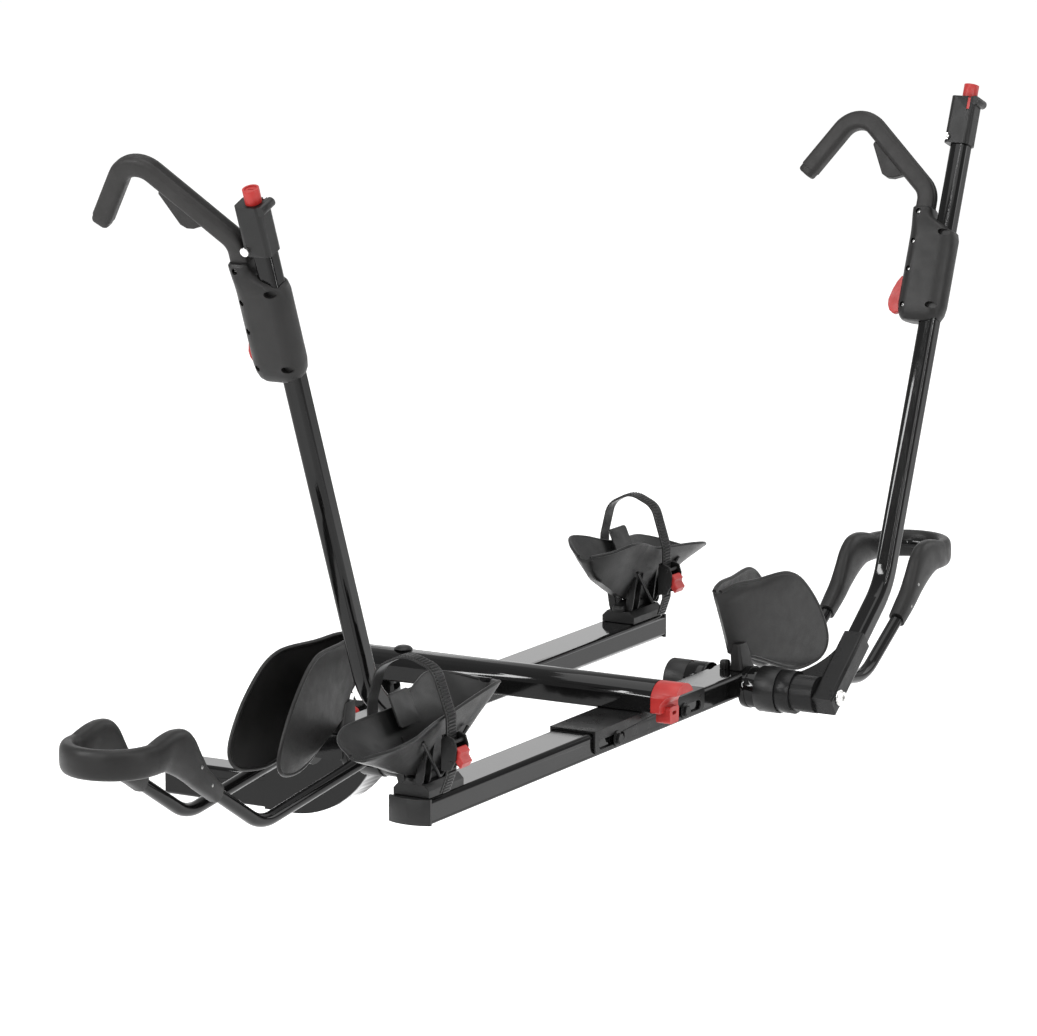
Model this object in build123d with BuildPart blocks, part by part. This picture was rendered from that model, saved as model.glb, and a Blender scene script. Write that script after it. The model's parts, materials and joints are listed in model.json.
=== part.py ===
"""Two-bike platform rack for a 2 in hitch receiver.

Millimetres. +X runs along the wheel trays, +Y points forward to the vehicle, +Z is up.
The origin is the centre of the hitch pin bore in the stinger.

The outer tray has its wheel hoop and mast at the +X end. The inner tray is its mirror image in X.
Every tray piece is drawn once, in a tray frame: y = 0 is the tray's centre plane and +X is its head end.
"""

import os
from math import atan2, cos, hypot, radians, sin

from build123d import *

# ---------------------------------------------------------------- driving dimensions
# hitch
STINGER = 50.8
STINGER_WALL = 6.0
STINGER_FRONT = 88.0
STINGER_REAR = -150.0
PIN_BORE_R = 8.0

# pivot bracket and spine
CHEEK_T = 6.0
PIVOT_Y = -257.0
PIVOT_Z = 168.0
PIVOT_R = 8.0
TONGUE_T = 18.0
TONGUE_R = 37.0
EAR_Y = -211.0
EAR_Z = 200.0
EAR_R = 19.0
EAR_HOLE_R = 12.0
PIN_BARREL = 18.0
TILT_PIN_Y = -253.0
TILT_PIN_Z = 140.0
SPINE_W = 56.0
SPINE_BOTTOM = 186.0
SPINE_SHOULDER = 209.0
SPINE_TOP = 229.0
SPINE_WALL = 3.0
SPINE_FRONT = -218.0
SPINE_END = -718.0
HANDLE_DEPTH = 39.0
PLUG_Y = -304.0

# trays
OUTER_Y = -669.0
TRAY_SPACING = 291.0
TRAY_W = 63.0
TRAY_H = 35.0
TRAY_TOP = 182.0
TRAY_REAR = -590.0
TRAY_HEAD = 338.0
TRAY_WALL = 3.0
CAP_BULGE = 12.0
SADDLE_HALF = 160.0
SADDLE_T = 4.0
SADDLE_FLANGE = 30.0
SADDLE_BOLT_X = 98.0
SLOT_X = 112.0

# hub that the hoop and the mast turn on
HUB_X = 306.0
HUB_Z = 158.0
AXLE_R = 8.0
RUN = 0.05
GAP = 0.3
BOSS_R = 29.0
NEAR_BOSS_END = 52.0
COLLAR_END = 85.0
FAR_BOSS_END = 36.0
FAR_EYE_END = 62.0
HUB_CAP_END = 96.0

# wheel hoop
HOOP_R = 9.5
HOOP_WALL = 2.0
HOOP_NEAR_Y = -68.0
HOOP_FAR_Y = 49.0
HOOP_BEND = (604.0, 121.0)
HOOP_KNEE = (822.0, 252.0)
HOOP_END = (914.0, 262.0)

# mast
MAST_Y = -158.0
MAST_W = 27.0
MAST_WALL = 2.0
MAST_BEND = (477.0, 286.5)
MAST_TIP = (752.0, 979.5)
MAST_BEND_R = 110.0
SLEEVE_W = 33.0
SLEEVE_BACK = 20.0
SLEEVE_FRONT = 111.0
TIP_CAP_LOW = 664.0
TIP_CAP_HIGH = 735.0
TIP_CAP_P = 31.0
TIP_CAP_Q = 39.0
TIP_CAP_SHIFT = 3.5
TIP_BOLT_Q = 18.5

# hook carriage, u measured up the mast from its bend
HOUSING_LOW = 394.0
INNER_HOOK_RAISE = 85.0
HOUSING_LENGTH = 172.0
HOUSING_T = 48.0
HOUSING_DEPTH = 83.0
HOUSING_SHIFT = 15.5
ARM_W = 24.0
ARM_D = 28.0
ARM_Q = 38.5
ARM_START = 126.0
TRIGGER_PIVOT = (48.0, 60.0)
TRIGGER_T = 12.0
TRIGGER_P = {1: -12.0, -1: -5.0}
SCREW_Q = 50.0
SCREW_U = (163.0, 118.0, 76.0, 22.0)

# wheel scoop: a deep V of two leaves on a sloping valley
SCOOP_Y = -10.0
SCOOP_TOP = (245.0, 302.0)
SCOOP_SLOPE = 63.6
SCOOP_FLARE = 11.0
SCOOP_T = 5.0

# rear wheel cradle
CLAMP_X = -545.0
CLAMP_L = 90.0
CLAMP_HALF = 27.0
CLAMP_TOP = 200.0
LEAF_T = 5.0
STRAP_X = -566.0
STRAP_W = 25.0
STRAP_T = 4.0
LATCH_Y = -59.2
LATCH_Z = 256.0

TRAYS = {"outer": (OUTER_Y, False), "inner": (OUTER_Y + TRAY_SPACING, True)}

# ---------------------------------------------------------------- derived geometry
TRAY_BOTTOM = TRAY_TOP - TRAY_H
TRAY_MID = TRAY_TOP - TRAY_H / 2
GRIP_START = STINGER / 2 + CHEEK_T + PIN_BARREL + 0.5
MAST_LOW_ANGLE = atan2(MAST_BEND[1] - HUB_Z, MAST_BEND[0] - HUB_X)
MAST_TOP_ANGLE = atan2(MAST_TIP[1] - MAST_BEND[1], MAST_TIP[0] - MAST_BEND[0])


def side_plane(y):
    """The XZ plane at y. Sketch x is X, sketch y is Z, and extrusion goes toward -Y."""
    return Plane(origin=(0, y, 0), x_dir=(1, 0, 0), z_dir=(0, -1, 0))


def mast_plane(u=0.0, angle=MAST_TOP_ANGLE, base=MAST_BEND):
    """A plane across the mast, u along it. Sketch x is across the lean, sketch y is Y."""
    along = (cos(angle), 0, sin(angle))
    origin = (base[0] + u * along[0], MAST_Y, base[1] + u * along[2])
    return Plane(origin=origin, x_dir=(along[2], 0, -along[0]), z_dir=along)


def mast_side_plane(p):
    """The plane through the mast's upper run that holds Y: sketch x is Y, sketch y is up the mast."""
    along = (cos(MAST_TOP_ANGLE), 0, sin(MAST_TOP_ANGLE))
    across = (along[2], 0, -along[0])
    origin = (MAST_BEND[0] + p * across[0], MAST_Y, MAST_BEND[1] + p * across[2])
    return Plane(origin=origin, x_dir=(0, 1, 0), z_dir=across)


# ---------------------------------------------------------------- hitch and pivot
def hitch_stinger():
    """Square receiver tube with its cross bore for the hitch pin."""
    with BuildPart() as stinger:
        with BuildSketch(Plane.XZ.offset(-STINGER_FRONT)):
            RectangleRounded(STINGER, STINGER, 5)
            RectangleRounded(STINGER - 2 * STINGER_WALL, STINGER - 2 * STINGER_WALL, 2, mode=Mode.SUBTRACT)
        extrude(amount=STINGER_FRONT - STINGER_REAR)
        with BuildSketch(Plane.YZ):
            Circle(PIN_BORE_R)
        extrude(amount=STINGER, both=True, mode=Mode.SUBTRACT)
    return stinger.part


def cheek_outline():
    """Side view of one pivot cheek: the stinger's end, a round bottom, a neck and the pivot eye."""
    half = STINGER / 2
    with BuildSketch() as outline:
        with BuildLine():
            Polyline((-88, half), (-88, -half), (-142, -half))
            ThreePointArc((-142, -half), (-214, -2), (-262, 48))
            Polyline((-262, 48), (-274, 110), (-274, PIVOT_Z), (-240, PIVOT_Z), (-240, 122), (-88, half))
        make_face()
        with Locations((PIVOT_Y, PIVOT_Z)):
            Circle(17)
    return outline.sketch


def pivot_bracket():
    """Weldment at the stinger's end: two cheeks, the web that closes their round back, the pin barrel."""
    outline = cheek_outline()
    inner = STINGER / 2
    with BuildPart() as bracket:
        for side in (-1, 1):
            with BuildSketch(Plane.YZ.offset(side * inner)):
                add(outline)
            extrude(amount=side * CHEEK_T)
        with BuildSketch(Plane.YZ.offset(-inner)):
            with BuildLine():
                Line((STINGER_REAR - 1, -inner + 0.4), (STINGER_REAR - 1, -inner + 7))
                ThreePointArc((STINGER_REAR - 1, -inner + 7), (-212, 4), (-256, 50))
                Line((-256, 50), (-262, 48))
                ThreePointArc((-262, 48), (-214, -2), (STINGER_REAR - 1, -inner + 0.4))
            make_face()
        extrude(amount=STINGER)
        with BuildSketch(Plane.YZ.offset(-inner - CHEEK_T)):
            with Locations((TILT_PIN_Y, TILT_PIN_Z)):
                Circle(7)
        extrude(amount=-PIN_BARREL)
        with BuildSketch(Plane.YZ):
            with Locations((TILT_PIN_Y, TILT_PIN_Z)):
                Circle(4.3)
        extrude(amount=-60, mode=Mode.SUBTRACT)
        with BuildSketch(Plane.YZ):
            with Locations((PIVOT_Y, PIVOT_Z)):
                Circle(PIVOT_R)
        extrude(amount=STINGER, both=True, mode=Mode.SUBTRACT)
    return bracket.part


def pivot_bolt():
    """Through bolt of the tilt pivot, with two spacer sleeves, a hexagon head and a nut."""
    cheek_out = STINGER / 2 + CHEEK_T
    with BuildPart() as bolt:
        with BuildSketch(Plane.YZ.offset(-cheek_out)):
            with Locations((PIVOT_Y, PIVOT_Z)):
                Circle(PIVOT_R)
        extrude(amount=2 * cheek_out)
        for side in (-1, 1):
            with BuildSketch(Plane.YZ.offset(side * cheek_out)):
                with Locations((PIVOT_Y, PIVOT_Z)):
                    RegularPolygon(14, 6)
            extrude(amount=side * 10)
            with BuildSketch(Plane.YZ.offset(side * (TONGUE_T / 2 + GAP))):
                with Locations((PIVOT_Y, PIVOT_Z)):
                    Circle(13)
            extrude(amount=side * (STINGER / 2 - TONGUE_T / 2 - GAP))
    return bolt.part


def tilt_pin():
    """Sprung pin that drops into the tongue's notch. Its tip stands just short of the tongue."""
    with BuildPart() as pin:
        with BuildSketch(Plane.YZ.offset(-TONGUE_T / 2 - 1)):
            with Locations((TILT_PIN_Y, TILT_PIN_Z)):
                Circle(4)
        extrude(amount=-(GRIP_START - TONGUE_T / 2 - 1 + 42))
    return pin.part


def tilt_pin_grip():
    """Round pull grip on the outer end of the tilt pin, waisted for two fingers."""
    start = -GRIP_START
    with BuildPart() as grip:
        with BuildSketch(Plane(origin=(0, TILT_PIN_Y, TILT_PIN_Z), x_dir=(1, 0, 0), z_dir=(0, -1, 0))):
            with BuildLine():
                Polyline((start, 0), (start, 8.5), (start - 6, 11.5))
                ThreePointArc((start - 6, 11.5), (start - 26, 8.5), (start - 46, 12.5))
                ThreePointArc((start - 46, 12.5), (start - 54, 10.5), (start - 58, 5))
                Polyline((start - 58, 5), (start - 58, 0), (start, 0))
            make_face()
        revolve(axis=Axis((0, TILT_PIN_Y, TILT_PIN_Z), (1, 0, 0)))
        with BuildSketch(Plane.YZ.offset(start)):
            with Locations((TILT_PIN_Y, TILT_PIN_Z)):
                Circle(4)
        extrude(amount=-42, mode=Mode.SUBTRACT)
    return grip.part


def spine_section(inset=0.0):
    """Flat sides under a shallow dome, shrunk by the inset."""
    half = SPINE_W / 2 - inset
    low = SPINE_BOTTOM + inset
    crown = SPINE_TOP - inset
    with BuildSketch() as section:
        with BuildLine():
            Polyline((-half, SPINE_SHOULDER), (-half, low), (half, low), (half, SPINE_SHOULDER))
            ThreePointArc((half, SPINE_SHOULDER), (0, crown), (-half, SPINE_SHOULDER))
        make_face()
        fillet(section.vertices().group_by(Axis.Y)[0], 3)
    return section.sketch


def spine_tube():
    """Hollow spine with its end plate, the index tongue under its front end and the stow ear."""
    with BuildPart() as spine:
        with BuildSketch(Plane.XZ.offset(-SPINE_FRONT)):
            add(spine_section())
        extrude(amount=SPINE_FRONT - SPINE_END)
        with BuildSketch(Plane.XZ.offset(-SPINE_FRONT + 6)):
            add(spine_section(SPINE_WALL))
        extrude(amount=SPINE_FRONT - SPINE_END - 12, mode=Mode.SUBTRACT)
        with BuildSketch(Plane.YZ.offset(-TONGUE_T / 2)):
            with Locations((PIVOT_Y, PIVOT_Z)):
                Circle(TONGUE_R)
            with Locations((EAR_Y, EAR_Z)):
                Circle(EAR_R)
            with BuildLine():
                Polyline((PIVOT_Y - 20, PIVOT_Z), (PIVOT_Y - 45, SPINE_BOTTOM + 1), (EAR_Y - 4, SPINE_BOTTOM + 1),
                         (EAR_Y - 4, PIVOT_Z + 8), (PIVOT_Y - 20, PIVOT_Z))
            make_face()
            with Locations((EAR_Y, EAR_Z)):
                Circle(EAR_HOLE_R, mode=Mode.SUBTRACT)
            with Locations((PIVOT_Y, PIVOT_Z)):
                Circle(PIVOT_R + RUN, mode=Mode.SUBTRACT)
            for turn in (-2, -24, -46):
                notch = (PIVOT_Y + TONGUE_R * cos(radians(turn)), PIVOT_Z + TONGUE_R * sin(radians(turn)))
                with Locations(notch):
                    Circle(3.5, mode=Mode.SUBTRACT)
        extrude(amount=TONGUE_T)
        with BuildSketch(Plane.XY.offset(SPINE_TOP - 12)):
            with Locations((0, PLUG_Y)):
                Circle(9)
        extrude(amount=20, mode=Mode.SUBTRACT)
        with BuildSketch(Plane.XZ.offset(-SPINE_END - 10)):
            with Locations((0, 202)):
                Circle(5.3)
        extrude(amount=20, mode=Mode.SUBTRACT)
    return spine.part


def spine_plug():
    """Low round plug in the top of the spine."""
    with BuildPart() as plug:
        with BuildSketch(Plane(origin=(0, PLUG_Y, 0), x_dir=(1, 0, 0), z_dir=(0, -1, 0))):
            with BuildLine():
                Polyline((0, SPINE_TOP - 8), (8.8, SPINE_TOP - 8), (8.8, SPINE_TOP + 0.2), (13.5, SPINE_TOP + 0.2))
                ThreePointArc((13.5, SPINE_TOP + 0.2), (10, SPINE_TOP + 3.4), (4, SPINE_TOP + 5))
                Polyline((4, SPINE_TOP + 5), (0, SPINE_TOP + 5), (0, SPINE_TOP - 8))
            make_face()
        revolve(axis=Axis((0, PLUG_Y, 0), (0, 0, 1)))
    return plug.part


def tilt_handle():
    """Hood-shaped pull handle on the spine's outer end, with its tongue and its draw rod."""
    start = -SPINE_END + 0.5
    with BuildPart() as handle:
        with BuildSketch(Plane.XZ.offset(start)):
            add(spine_section(0.5))
        extrude(amount=HANDLE_DEPTH)
        with BuildSketch(Plane.YZ.offset(-SPINE_W)):
            with BuildLine():
                Polyline((-start - 14, 170), (-start - 14, 198))
                ThreePointArc((-start - 14, 198), (-start - 26, 211), (-start - HANDLE_DEPTH - 2, 214))
                Polyline((-start - HANDLE_DEPTH - 2, 214), (-start - HANDLE_DEPTH - 2, 170), (-start - 14, 170))
            make_face()
        extrude(amount=2 * SPINE_W, mode=Mode.SUBTRACT)
        with BuildSketch(Plane.XZ.offset(start)):
            with Locations((2, 182)):
                RectangleRounded(26, 24, 4)
        extrude(amount=22)
        with BuildSketch(Plane.XZ.offset(start + 16)):
            with Locations((2, 185)):
                SlotOverall(12, 5)
        extrude(amount=8, mode=Mode.SUBTRACT)
        with BuildSketch(Plane.XZ.offset(start)):
            with Locations((0, 202)):
                Circle(5)
        extrude(amount=-60)
    return handle.part


# ---------------------------------------------------------------- tray
def tray_section(wall=0.0):
    """Section across the tray, shrunk by the wall."""
    with BuildSketch() as section:
        with Locations((0, TRAY_MID)):
            RectangleRounded(TRAY_W - 2 * wall, TRAY_H - 2 * wall, 6 - wall)
    return section.sketch


def tray_tube():
    """Rounded box tube with the two hub bosses welded to its sides at the head end."""
    with BuildPart() as tube:
        with BuildSketch(Plane.YZ.offset(TRAY_REAR)):
            add(tray_section())
        extrude(amount=TRAY_HEAD - TRAY_REAR)
        with BuildSketch(side_plane(-TRAY_W / 2 + 4)):
            with Locations((HUB_X, HUB_Z)):
                Circle(BOSS_R + 1)
        extrude(amount=9)
        with BuildSketch(side_plane(-TRAY_W / 2)):
            with Locations((HUB_X, HUB_Z)):
                Circle(BOSS_R)
        extrude(amount=NEAR_BOSS_END - TRAY_W / 2)
        with BuildSketch(side_plane(TRAY_W / 2)):
            with Locations((HUB_X, HUB_Z)):
                Circle(BOSS_R)
        extrude(amount=-(FAR_BOSS_END - TRAY_W / 2))
        with BuildSketch(Plane.YZ.offset(TRAY_REAR)):
            add(tray_section(TRAY_WALL))
        extrude(amount=TRAY_HEAD - TRAY_REAR - TRAY_WALL, mode=Mode.SUBTRACT)
        with BuildSketch(side_plane(0)):
            with Locations((HUB_X, HUB_Z)):
                Circle(AXLE_R)
            with Locations((-SADDLE_BOLT_X, TRAY_MID), (SADDLE_BOLT_X, TRAY_MID)):
                Circle(5.5)
        extrude(amount=NEAR_BOSS_END + 1, both=True, mode=Mode.SUBTRACT)
    return tube.part


def tray_end_cap():
    """Plastic plug of the tray's rear end, bowed outward."""
    half = TRAY_W / 2
    with BuildPart() as cap:
        with BuildSketch(Plane.XY.offset(TRAY_BOTTOM)):
            with BuildLine():
                Line((TRAY_REAR, -half), (TRAY_REAR, half))
                Line((TRAY_REAR, half), (TRAY_REAR - 4, half))
                ThreePointArc((TRAY_REAR - 4, half), (TRAY_REAR - CAP_BULGE, 0), (TRAY_REAR - 4, -half))
                Line((TRAY_REAR - 4, -half), (TRAY_REAR, -half))
            make_face()
        extrude(amount=TRAY_H)
        with BuildSketch(Plane.YZ.offset(TRAY_REAR)):
            add(tray_section(TRAY_WALL + 0.4))
        extrude(amount=20)
    return cap.part


def tray_saddle():
    """Channel bracket that clamps the tray under the spine, slotted so that the tray can be centred."""
    half = TRAY_W / 2
    with BuildPart() as saddle:
        with BuildSketch(Plane.XY.offset(TRAY_TOP)):
            Rectangle(2 * SADDLE_HALF, TRAY_W + 2 * SADDLE_T)
        extrude(amount=SADDLE_T)
        for y in (-half, half + SADDLE_T):
            with BuildSketch(side_plane(y)) as flange:
                with Locations((0, TRAY_TOP + SADDLE_T - (SADDLE_FLANGE + SADDLE_T) / 2)):
                    Rectangle(2 * SADDLE_HALF, SADDLE_FLANGE + SADDLE_T)
                fillet(flange.vertices().group_by(Axis.Y)[0], 12)
                with Locations((-SLOT_X, TRAY_MID), (SLOT_X, TRAY_MID)):
                    SlotOverall(72, 13, mode=Mode.SUBTRACT)
            extrude(amount=SADDLE_T)
    return saddle.part


def saddle_bolts():
    """The two cross bolts of one saddle, each with a washer face and head at one end and a nut at the other."""
    face = TRAY_W / 2 + SADDLE_T
    with BuildPart() as bolts:
        with BuildSketch(side_plane(face + 6)):
            with Locations((-SADDLE_BOLT_X, TRAY_MID), (SADDLE_BOLT_X, TRAY_MID)):
                Circle(5)
        extrude(amount=2 * face + 12)
        for y, reach in ((-face, 1.6), (face, -1.6)):
            with BuildSketch(side_plane(y)):
                with Locations((-SADDLE_BOLT_X, TRAY_MID), (SADDLE_BOLT_X, TRAY_MID)):
                    Circle(11)
            extrude(amount=reach)
        for y, reach in ((-face, 7), (face, -7)):
            with BuildSketch(side_plane(y)):
                with Locations((-SADDLE_BOLT_X, TRAY_MID), (SADDLE_BOLT_X, TRAY_MID)):
                    RegularPolygon(8, 6)
            extrude(amount=reach)
    return bolts.part


# ---------------------------------------------------------------- hub
def hub_disc(radius, y_near, y_far, bore):
    """A ring on the hub axis between two y values."""
    with BuildPart() as disc:
        with BuildSketch(side_plane(y_far)):
            with Locations((HUB_X, HUB_Z)):
                Circle(radius)
                Circle(bore, mode=Mode.SUBTRACT)
        extrude(amount=y_far - y_near)
    return disc.part


def hub_axle():
    """Axle through the tray, the hoop's eyes and the mast foot, with its bright head on the near side."""
    head = -MAST_Y + SLEEVE_W / 2 + GAP
    with BuildPart() as axle:
        with BuildSketch(side_plane(HUB_CAP_END - 8)):
            with Locations((HUB_X, HUB_Z)):
                Circle(AXLE_R)
        extrude(amount=HUB_CAP_END - 8 + head)
        with BuildSketch(side_plane(-head)):
            with Locations((HUB_X, HUB_Z)):
                Circle(11.5)
        extrude(amount=2)
        with BuildSketch(side_plane(-head)):
            with Locations((HUB_X, HUB_Z)):
                Circle(9)
        extrude(amount=7)
        with BuildSketch(side_plane(-head - 7)):
            with Locations((HUB_X, HUB_Z)):
                RegularPolygon(4.6, 6)
        extrude(amount=-4, mode=Mode.SUBTRACT)
    return axle.part


def hub_end_cap():
    """Round cap that closes the hub on the far side."""
    with BuildPart() as cap:
        add(hub_disc(BOSS_R, FAR_EYE_END + GAP, HUB_CAP_END, AXLE_R))
        with BuildSketch(side_plane(HUB_CAP_END)):
            with Locations((HUB_X, HUB_Z)):
                Circle(BOSS_R)
        extrude(amount=4)
        fillet(cap.edges().group_by(Axis.Y)[-1].filter_by(GeomType.CIRCLE), 3)
    return cap.part


# ---------------------------------------------------------------- wheel hoop
def hoop_path(near, far):
    """Route of the hoop: hub, bend, knee, rounded end, and back along the other leg."""
    start = (HUB_X + 12, HUB_Z - 1)
    near_leg = [(start[0], near, start[1])] + [(x, near, z) for x, z in (HOOP_BEND, HOOP_KNEE, HOOP_END)]
    far_leg = [(x, far, z) for x, z in (HOOP_END, HOOP_KNEE, HOOP_BEND)] + [(start[0], far, start[1])]
    with BuildLine() as path:
        FilletPolyline(*near_leg, *far_leg, radius=[85, 90, 50, 50, 90, 85])
    return path.line


def hoop_tube():
    """Bent round tube of the front wheel's hoop, with an eye at each end."""
    path = hoop_path(HOOP_NEAR_Y, HOOP_FAR_Y)
    start = path @ 0
    with BuildPart() as hoop:
        with BuildSketch(Plane(origin=start, z_dir=path % 0)):
            Circle(HOOP_R)
            Circle(HOOP_R - HOOP_WALL, mode=Mode.SUBTRACT)
        sweep(path=path)
        add(hub_disc(BOSS_R, -COLLAR_END + GAP, -NEAR_BOSS_END - GAP, AXLE_R + RUN))
        add(hub_disc(BOSS_R, FAR_BOSS_END + GAP, FAR_EYE_END, AXLE_R + RUN))
    return hoop.part


def hoop_cover_outline():
    """Side view of the moulded cover: tube sleeve, wheel-hugging hump and the lower nose."""
    with BuildSketch() as outline:
        with BuildLine():
            Polyline((705, 197), (742, 228), (755, 250), (770, 273))
            ThreePointArc((770, 273), (800, 290), (834, 288))
            Polyline((834, 288), (879, 279), (935, 280), (935, 240), (839, 239), (790, 218), (719, 175), (705, 197))
        make_face()
    return outline.sketch


def hoop_cover():
    """Moulded plastic cover over the hoop's outer end."""
    path = hoop_path(HOOP_NEAR_Y, HOOP_FAR_Y)
    width = HOOP_FAR_Y - HOOP_NEAR_Y
    middle = (HOOP_FAR_Y + HOOP_NEAR_Y) / 2
    with BuildPart() as bore:
        with BuildSketch(Plane(origin=path @ 0, z_dir=path % 0)):
            Circle(HOOP_R + 0.15)
        sweep(path=path)
    with BuildPart() as cover:
        with BuildSketch(side_plane(HOOP_FAR_Y + 13)):
            add(hoop_cover_outline())
        extrude(amount=width + 26)
        with BuildSketch(Plane.XY.offset(120)):
            with BuildLine():
                Polyline((600, middle - width / 2 + 12), (855, middle - width / 2 + 12))
                ThreePointArc((855, middle - width / 2 + 12), (855 + width / 2 - 12, middle),
                              (855, middle + width / 2 - 12))
                Polyline((855, middle + width / 2 - 12), (600, middle + width / 2 - 12),
                         (600, middle - width / 2 + 12))
            make_face()
        extrude(amount=200, mode=Mode.SUBTRACT)
        with BuildSketch(Plane.XY.offset(120)):
            with BuildLine():
                Polyline((860, middle - width / 2 - 13), (960, middle - width / 2 - 13),
                         (960, middle + width / 2 + 13), (860, middle + width / 2 + 13))
                ThreePointArc((860, middle + width / 2 + 13), (860 + width / 2 + 13, middle),
                              (860, middle - width / 2 - 13))
            make_face()
        extrude(amount=200, mode=Mode.SUBTRACT)
        add(bore.part, mode=Mode.SUBTRACT)
    return cover.part


def hub_collar():
    """Plastic shroud over the hoop's near eye, slotted where the leg leaves it."""
    leg = Vector(HOOP_BEND[0] - HUB_X, 0, HOOP_BEND[1] - HUB_Z)
    with BuildPart() as collar:
        add(hub_disc(BOSS_R + 4, -COLLAR_END + GAP, -NEAR_BOSS_END - GAP, BOSS_R))
        with BuildSketch(Plane(origin=(HUB_X, HOOP_NEAR_Y, HUB_Z), z_dir=leg)):
            Rectangle(2 * HOOP_R + 3, 2 * HOOP_R + 3)
        extrude(amount=60, mode=Mode.SUBTRACT)
    return collar.part


def hoop_lock_knob():
    """Sprung knob on the tray top that frees the hoop."""
    with BuildPart() as knob:
        with BuildSketch(Plane.XY.offset(TRAY_TOP + GAP)):
            with Locations((HUB_X - 6, 5.5)):
                Circle(8)
        extrude(amount=13)
        fillet(knob.edges().group_by(Axis.Z)[-1], 4)
    return knob.part


# ---------------------------------------------------------------- mast
def mast_foot():
    """Casting on the hub: ring, neck, gusset and the square sleeve that holds the mast."""
    low = MAST_LOW_ANGLE
    sleeve = SLEEVE_W / 2
    with BuildPart() as foot:
        add(hub_disc(BOSS_R + 2, -108, -COLLAR_END, AXLE_R + RUN))
        add(hub_disc(BOSS_R - 2.5, MAST_Y + sleeve - 1, -108, AXLE_R + RUN))
        with BuildSketch(mast_plane(-SLEEVE_BACK, low, (HUB_X, HUB_Z))):
            RectangleRounded(SLEEVE_W, SLEEVE_W, 5)
        extrude(amount=SLEEVE_BACK + SLEEVE_FRONT)
        gusset = Plane(origin=(HUB_X, 0, HUB_Z), x_dir=(0, 1, 0), z_dir=(sin(low), 0, -cos(low)))
        with BuildSketch(gusset.offset(-9)):
            with BuildLine():
                Polyline((MAST_Y + sleeve - 2, 20), (-96, 20), (-96, 28))
                ThreePointArc((-96, 28), (-123, 52), (MAST_Y + sleeve - 2, 98))
                Line((MAST_Y + sleeve - 2, 98), (MAST_Y + sleeve - 2, 20))
            make_face()
        extrude(amount=18)
        with BuildSketch(mast_plane(14, low, (HUB_X, HUB_Z))):
            RectangleRounded(MAST_W, MAST_W, 7)
        extrude(amount=SLEEVE_FRONT, mode=Mode.SUBTRACT)
        with BuildSketch(side_plane(-80)):
            with Locations((HUB_X, HUB_Z)):
                Circle(AXLE_R + RUN)
        extrude(amount=120, mode=Mode.SUBTRACT)
    return foot.part


def mast_tube():
    """Bent square tube, from the foot's sleeve to the tip cap."""
    reach = hypot(MAST_BEND[0] - HUB_X, MAST_BEND[1] - HUB_Z)
    start = (HUB_X + 14 / reach * (MAST_BEND[0] - HUB_X), MAST_Y, HUB_Z + 14 / reach * (MAST_BEND[1] - HUB_Z))
    top = TIP_CAP_HIGH - 8
    end = (MAST_BEND[0] + top * cos(MAST_TOP_ANGLE), MAST_Y, MAST_BEND[1] + top * sin(MAST_TOP_ANGLE))
    with BuildPart() as mast:
        with BuildLine() as path:
            FilletPolyline(start, (MAST_BEND[0], MAST_Y, MAST_BEND[1]), end, radius=MAST_BEND_R)
        with BuildSketch(mast_plane(14, MAST_LOW_ANGLE, (HUB_X, HUB_Z))):
            RectangleRounded(MAST_W, MAST_W, 7)
            inner = MAST_W - 2 * MAST_WALL
            RectangleRounded(inner, inner, 5, mode=Mode.SUBTRACT)
        sweep(path=path.line)
    return mast.part


def mast_tip_cap():
    """Boxy cap over the mast's end, with a round barrel along its near edge and a relief notch."""
    face = TIP_CAP_P / 2
    near_q = TIP_CAP_SHIFT - TIP_CAP_Q / 2
    with BuildPart() as cap:
        with BuildSketch(mast_plane(TIP_CAP_LOW)):
            with Locations((0, TIP_CAP_SHIFT)):
                RectangleRounded(TIP_CAP_P, TIP_CAP_Q, 7)
        extrude(amount=TIP_CAP_HIGH - TIP_CAP_LOW)
        with BuildSketch(mast_side_plane(-face + 1)):
            with Locations((near_q, TIP_CAP_HIGH - 5)):
                Circle(6.5)
        extrude(amount=TIP_CAP_P - 2)
        with BuildSketch(mast_side_plane(-face - 1)):
            with Locations((near_q + 9, TIP_CAP_HIGH - 8)):
                SlotOverall(26, 5, rotation=90)
        extrude(amount=12, mode=Mode.SUBTRACT)
        with BuildSketch(mast_plane(TIP_CAP_LOW - 1)):
            RectangleRounded(MAST_W, MAST_W, 7)
        extrude(amount=TIP_CAP_HIGH - 8 - TIP_CAP_LOW + 1, mode=Mode.SUBTRACT)
        with BuildSketch(mast_side_plane(-face - 1)):
            with Locations((TIP_BOLT_Q, TIP_CAP_LOW + 8)):
                Circle(3)
        extrude(amount=TIP_CAP_P + 2, mode=Mode.SUBTRACT)
    return cap.part


def tip_bolt():
    """Bright cross bolt through the tip cap's edge, with its nut."""
    face = TIP_CAP_P / 2
    with BuildPart() as bolt:
        with BuildSketch(mast_side_plane(-face - 7)):
            with Locations((TIP_BOLT_Q, TIP_CAP_LOW + 8)):
                Circle(3)
        extrude(amount=TIP_CAP_P + 7)
        with BuildSketch(mast_side_plane(face)):
            with Locations((TIP_BOLT_Q, TIP_CAP_LOW + 8)):
                Circle(6)
        extrude(amount=4)
        with BuildSketch(mast_side_plane(-face)):
            with Locations((TIP_BOLT_Q, TIP_CAP_LOW + 8)):
                RegularPolygon(5.5, 6)
        extrude(amount=-4)
    return bolt.part


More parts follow.
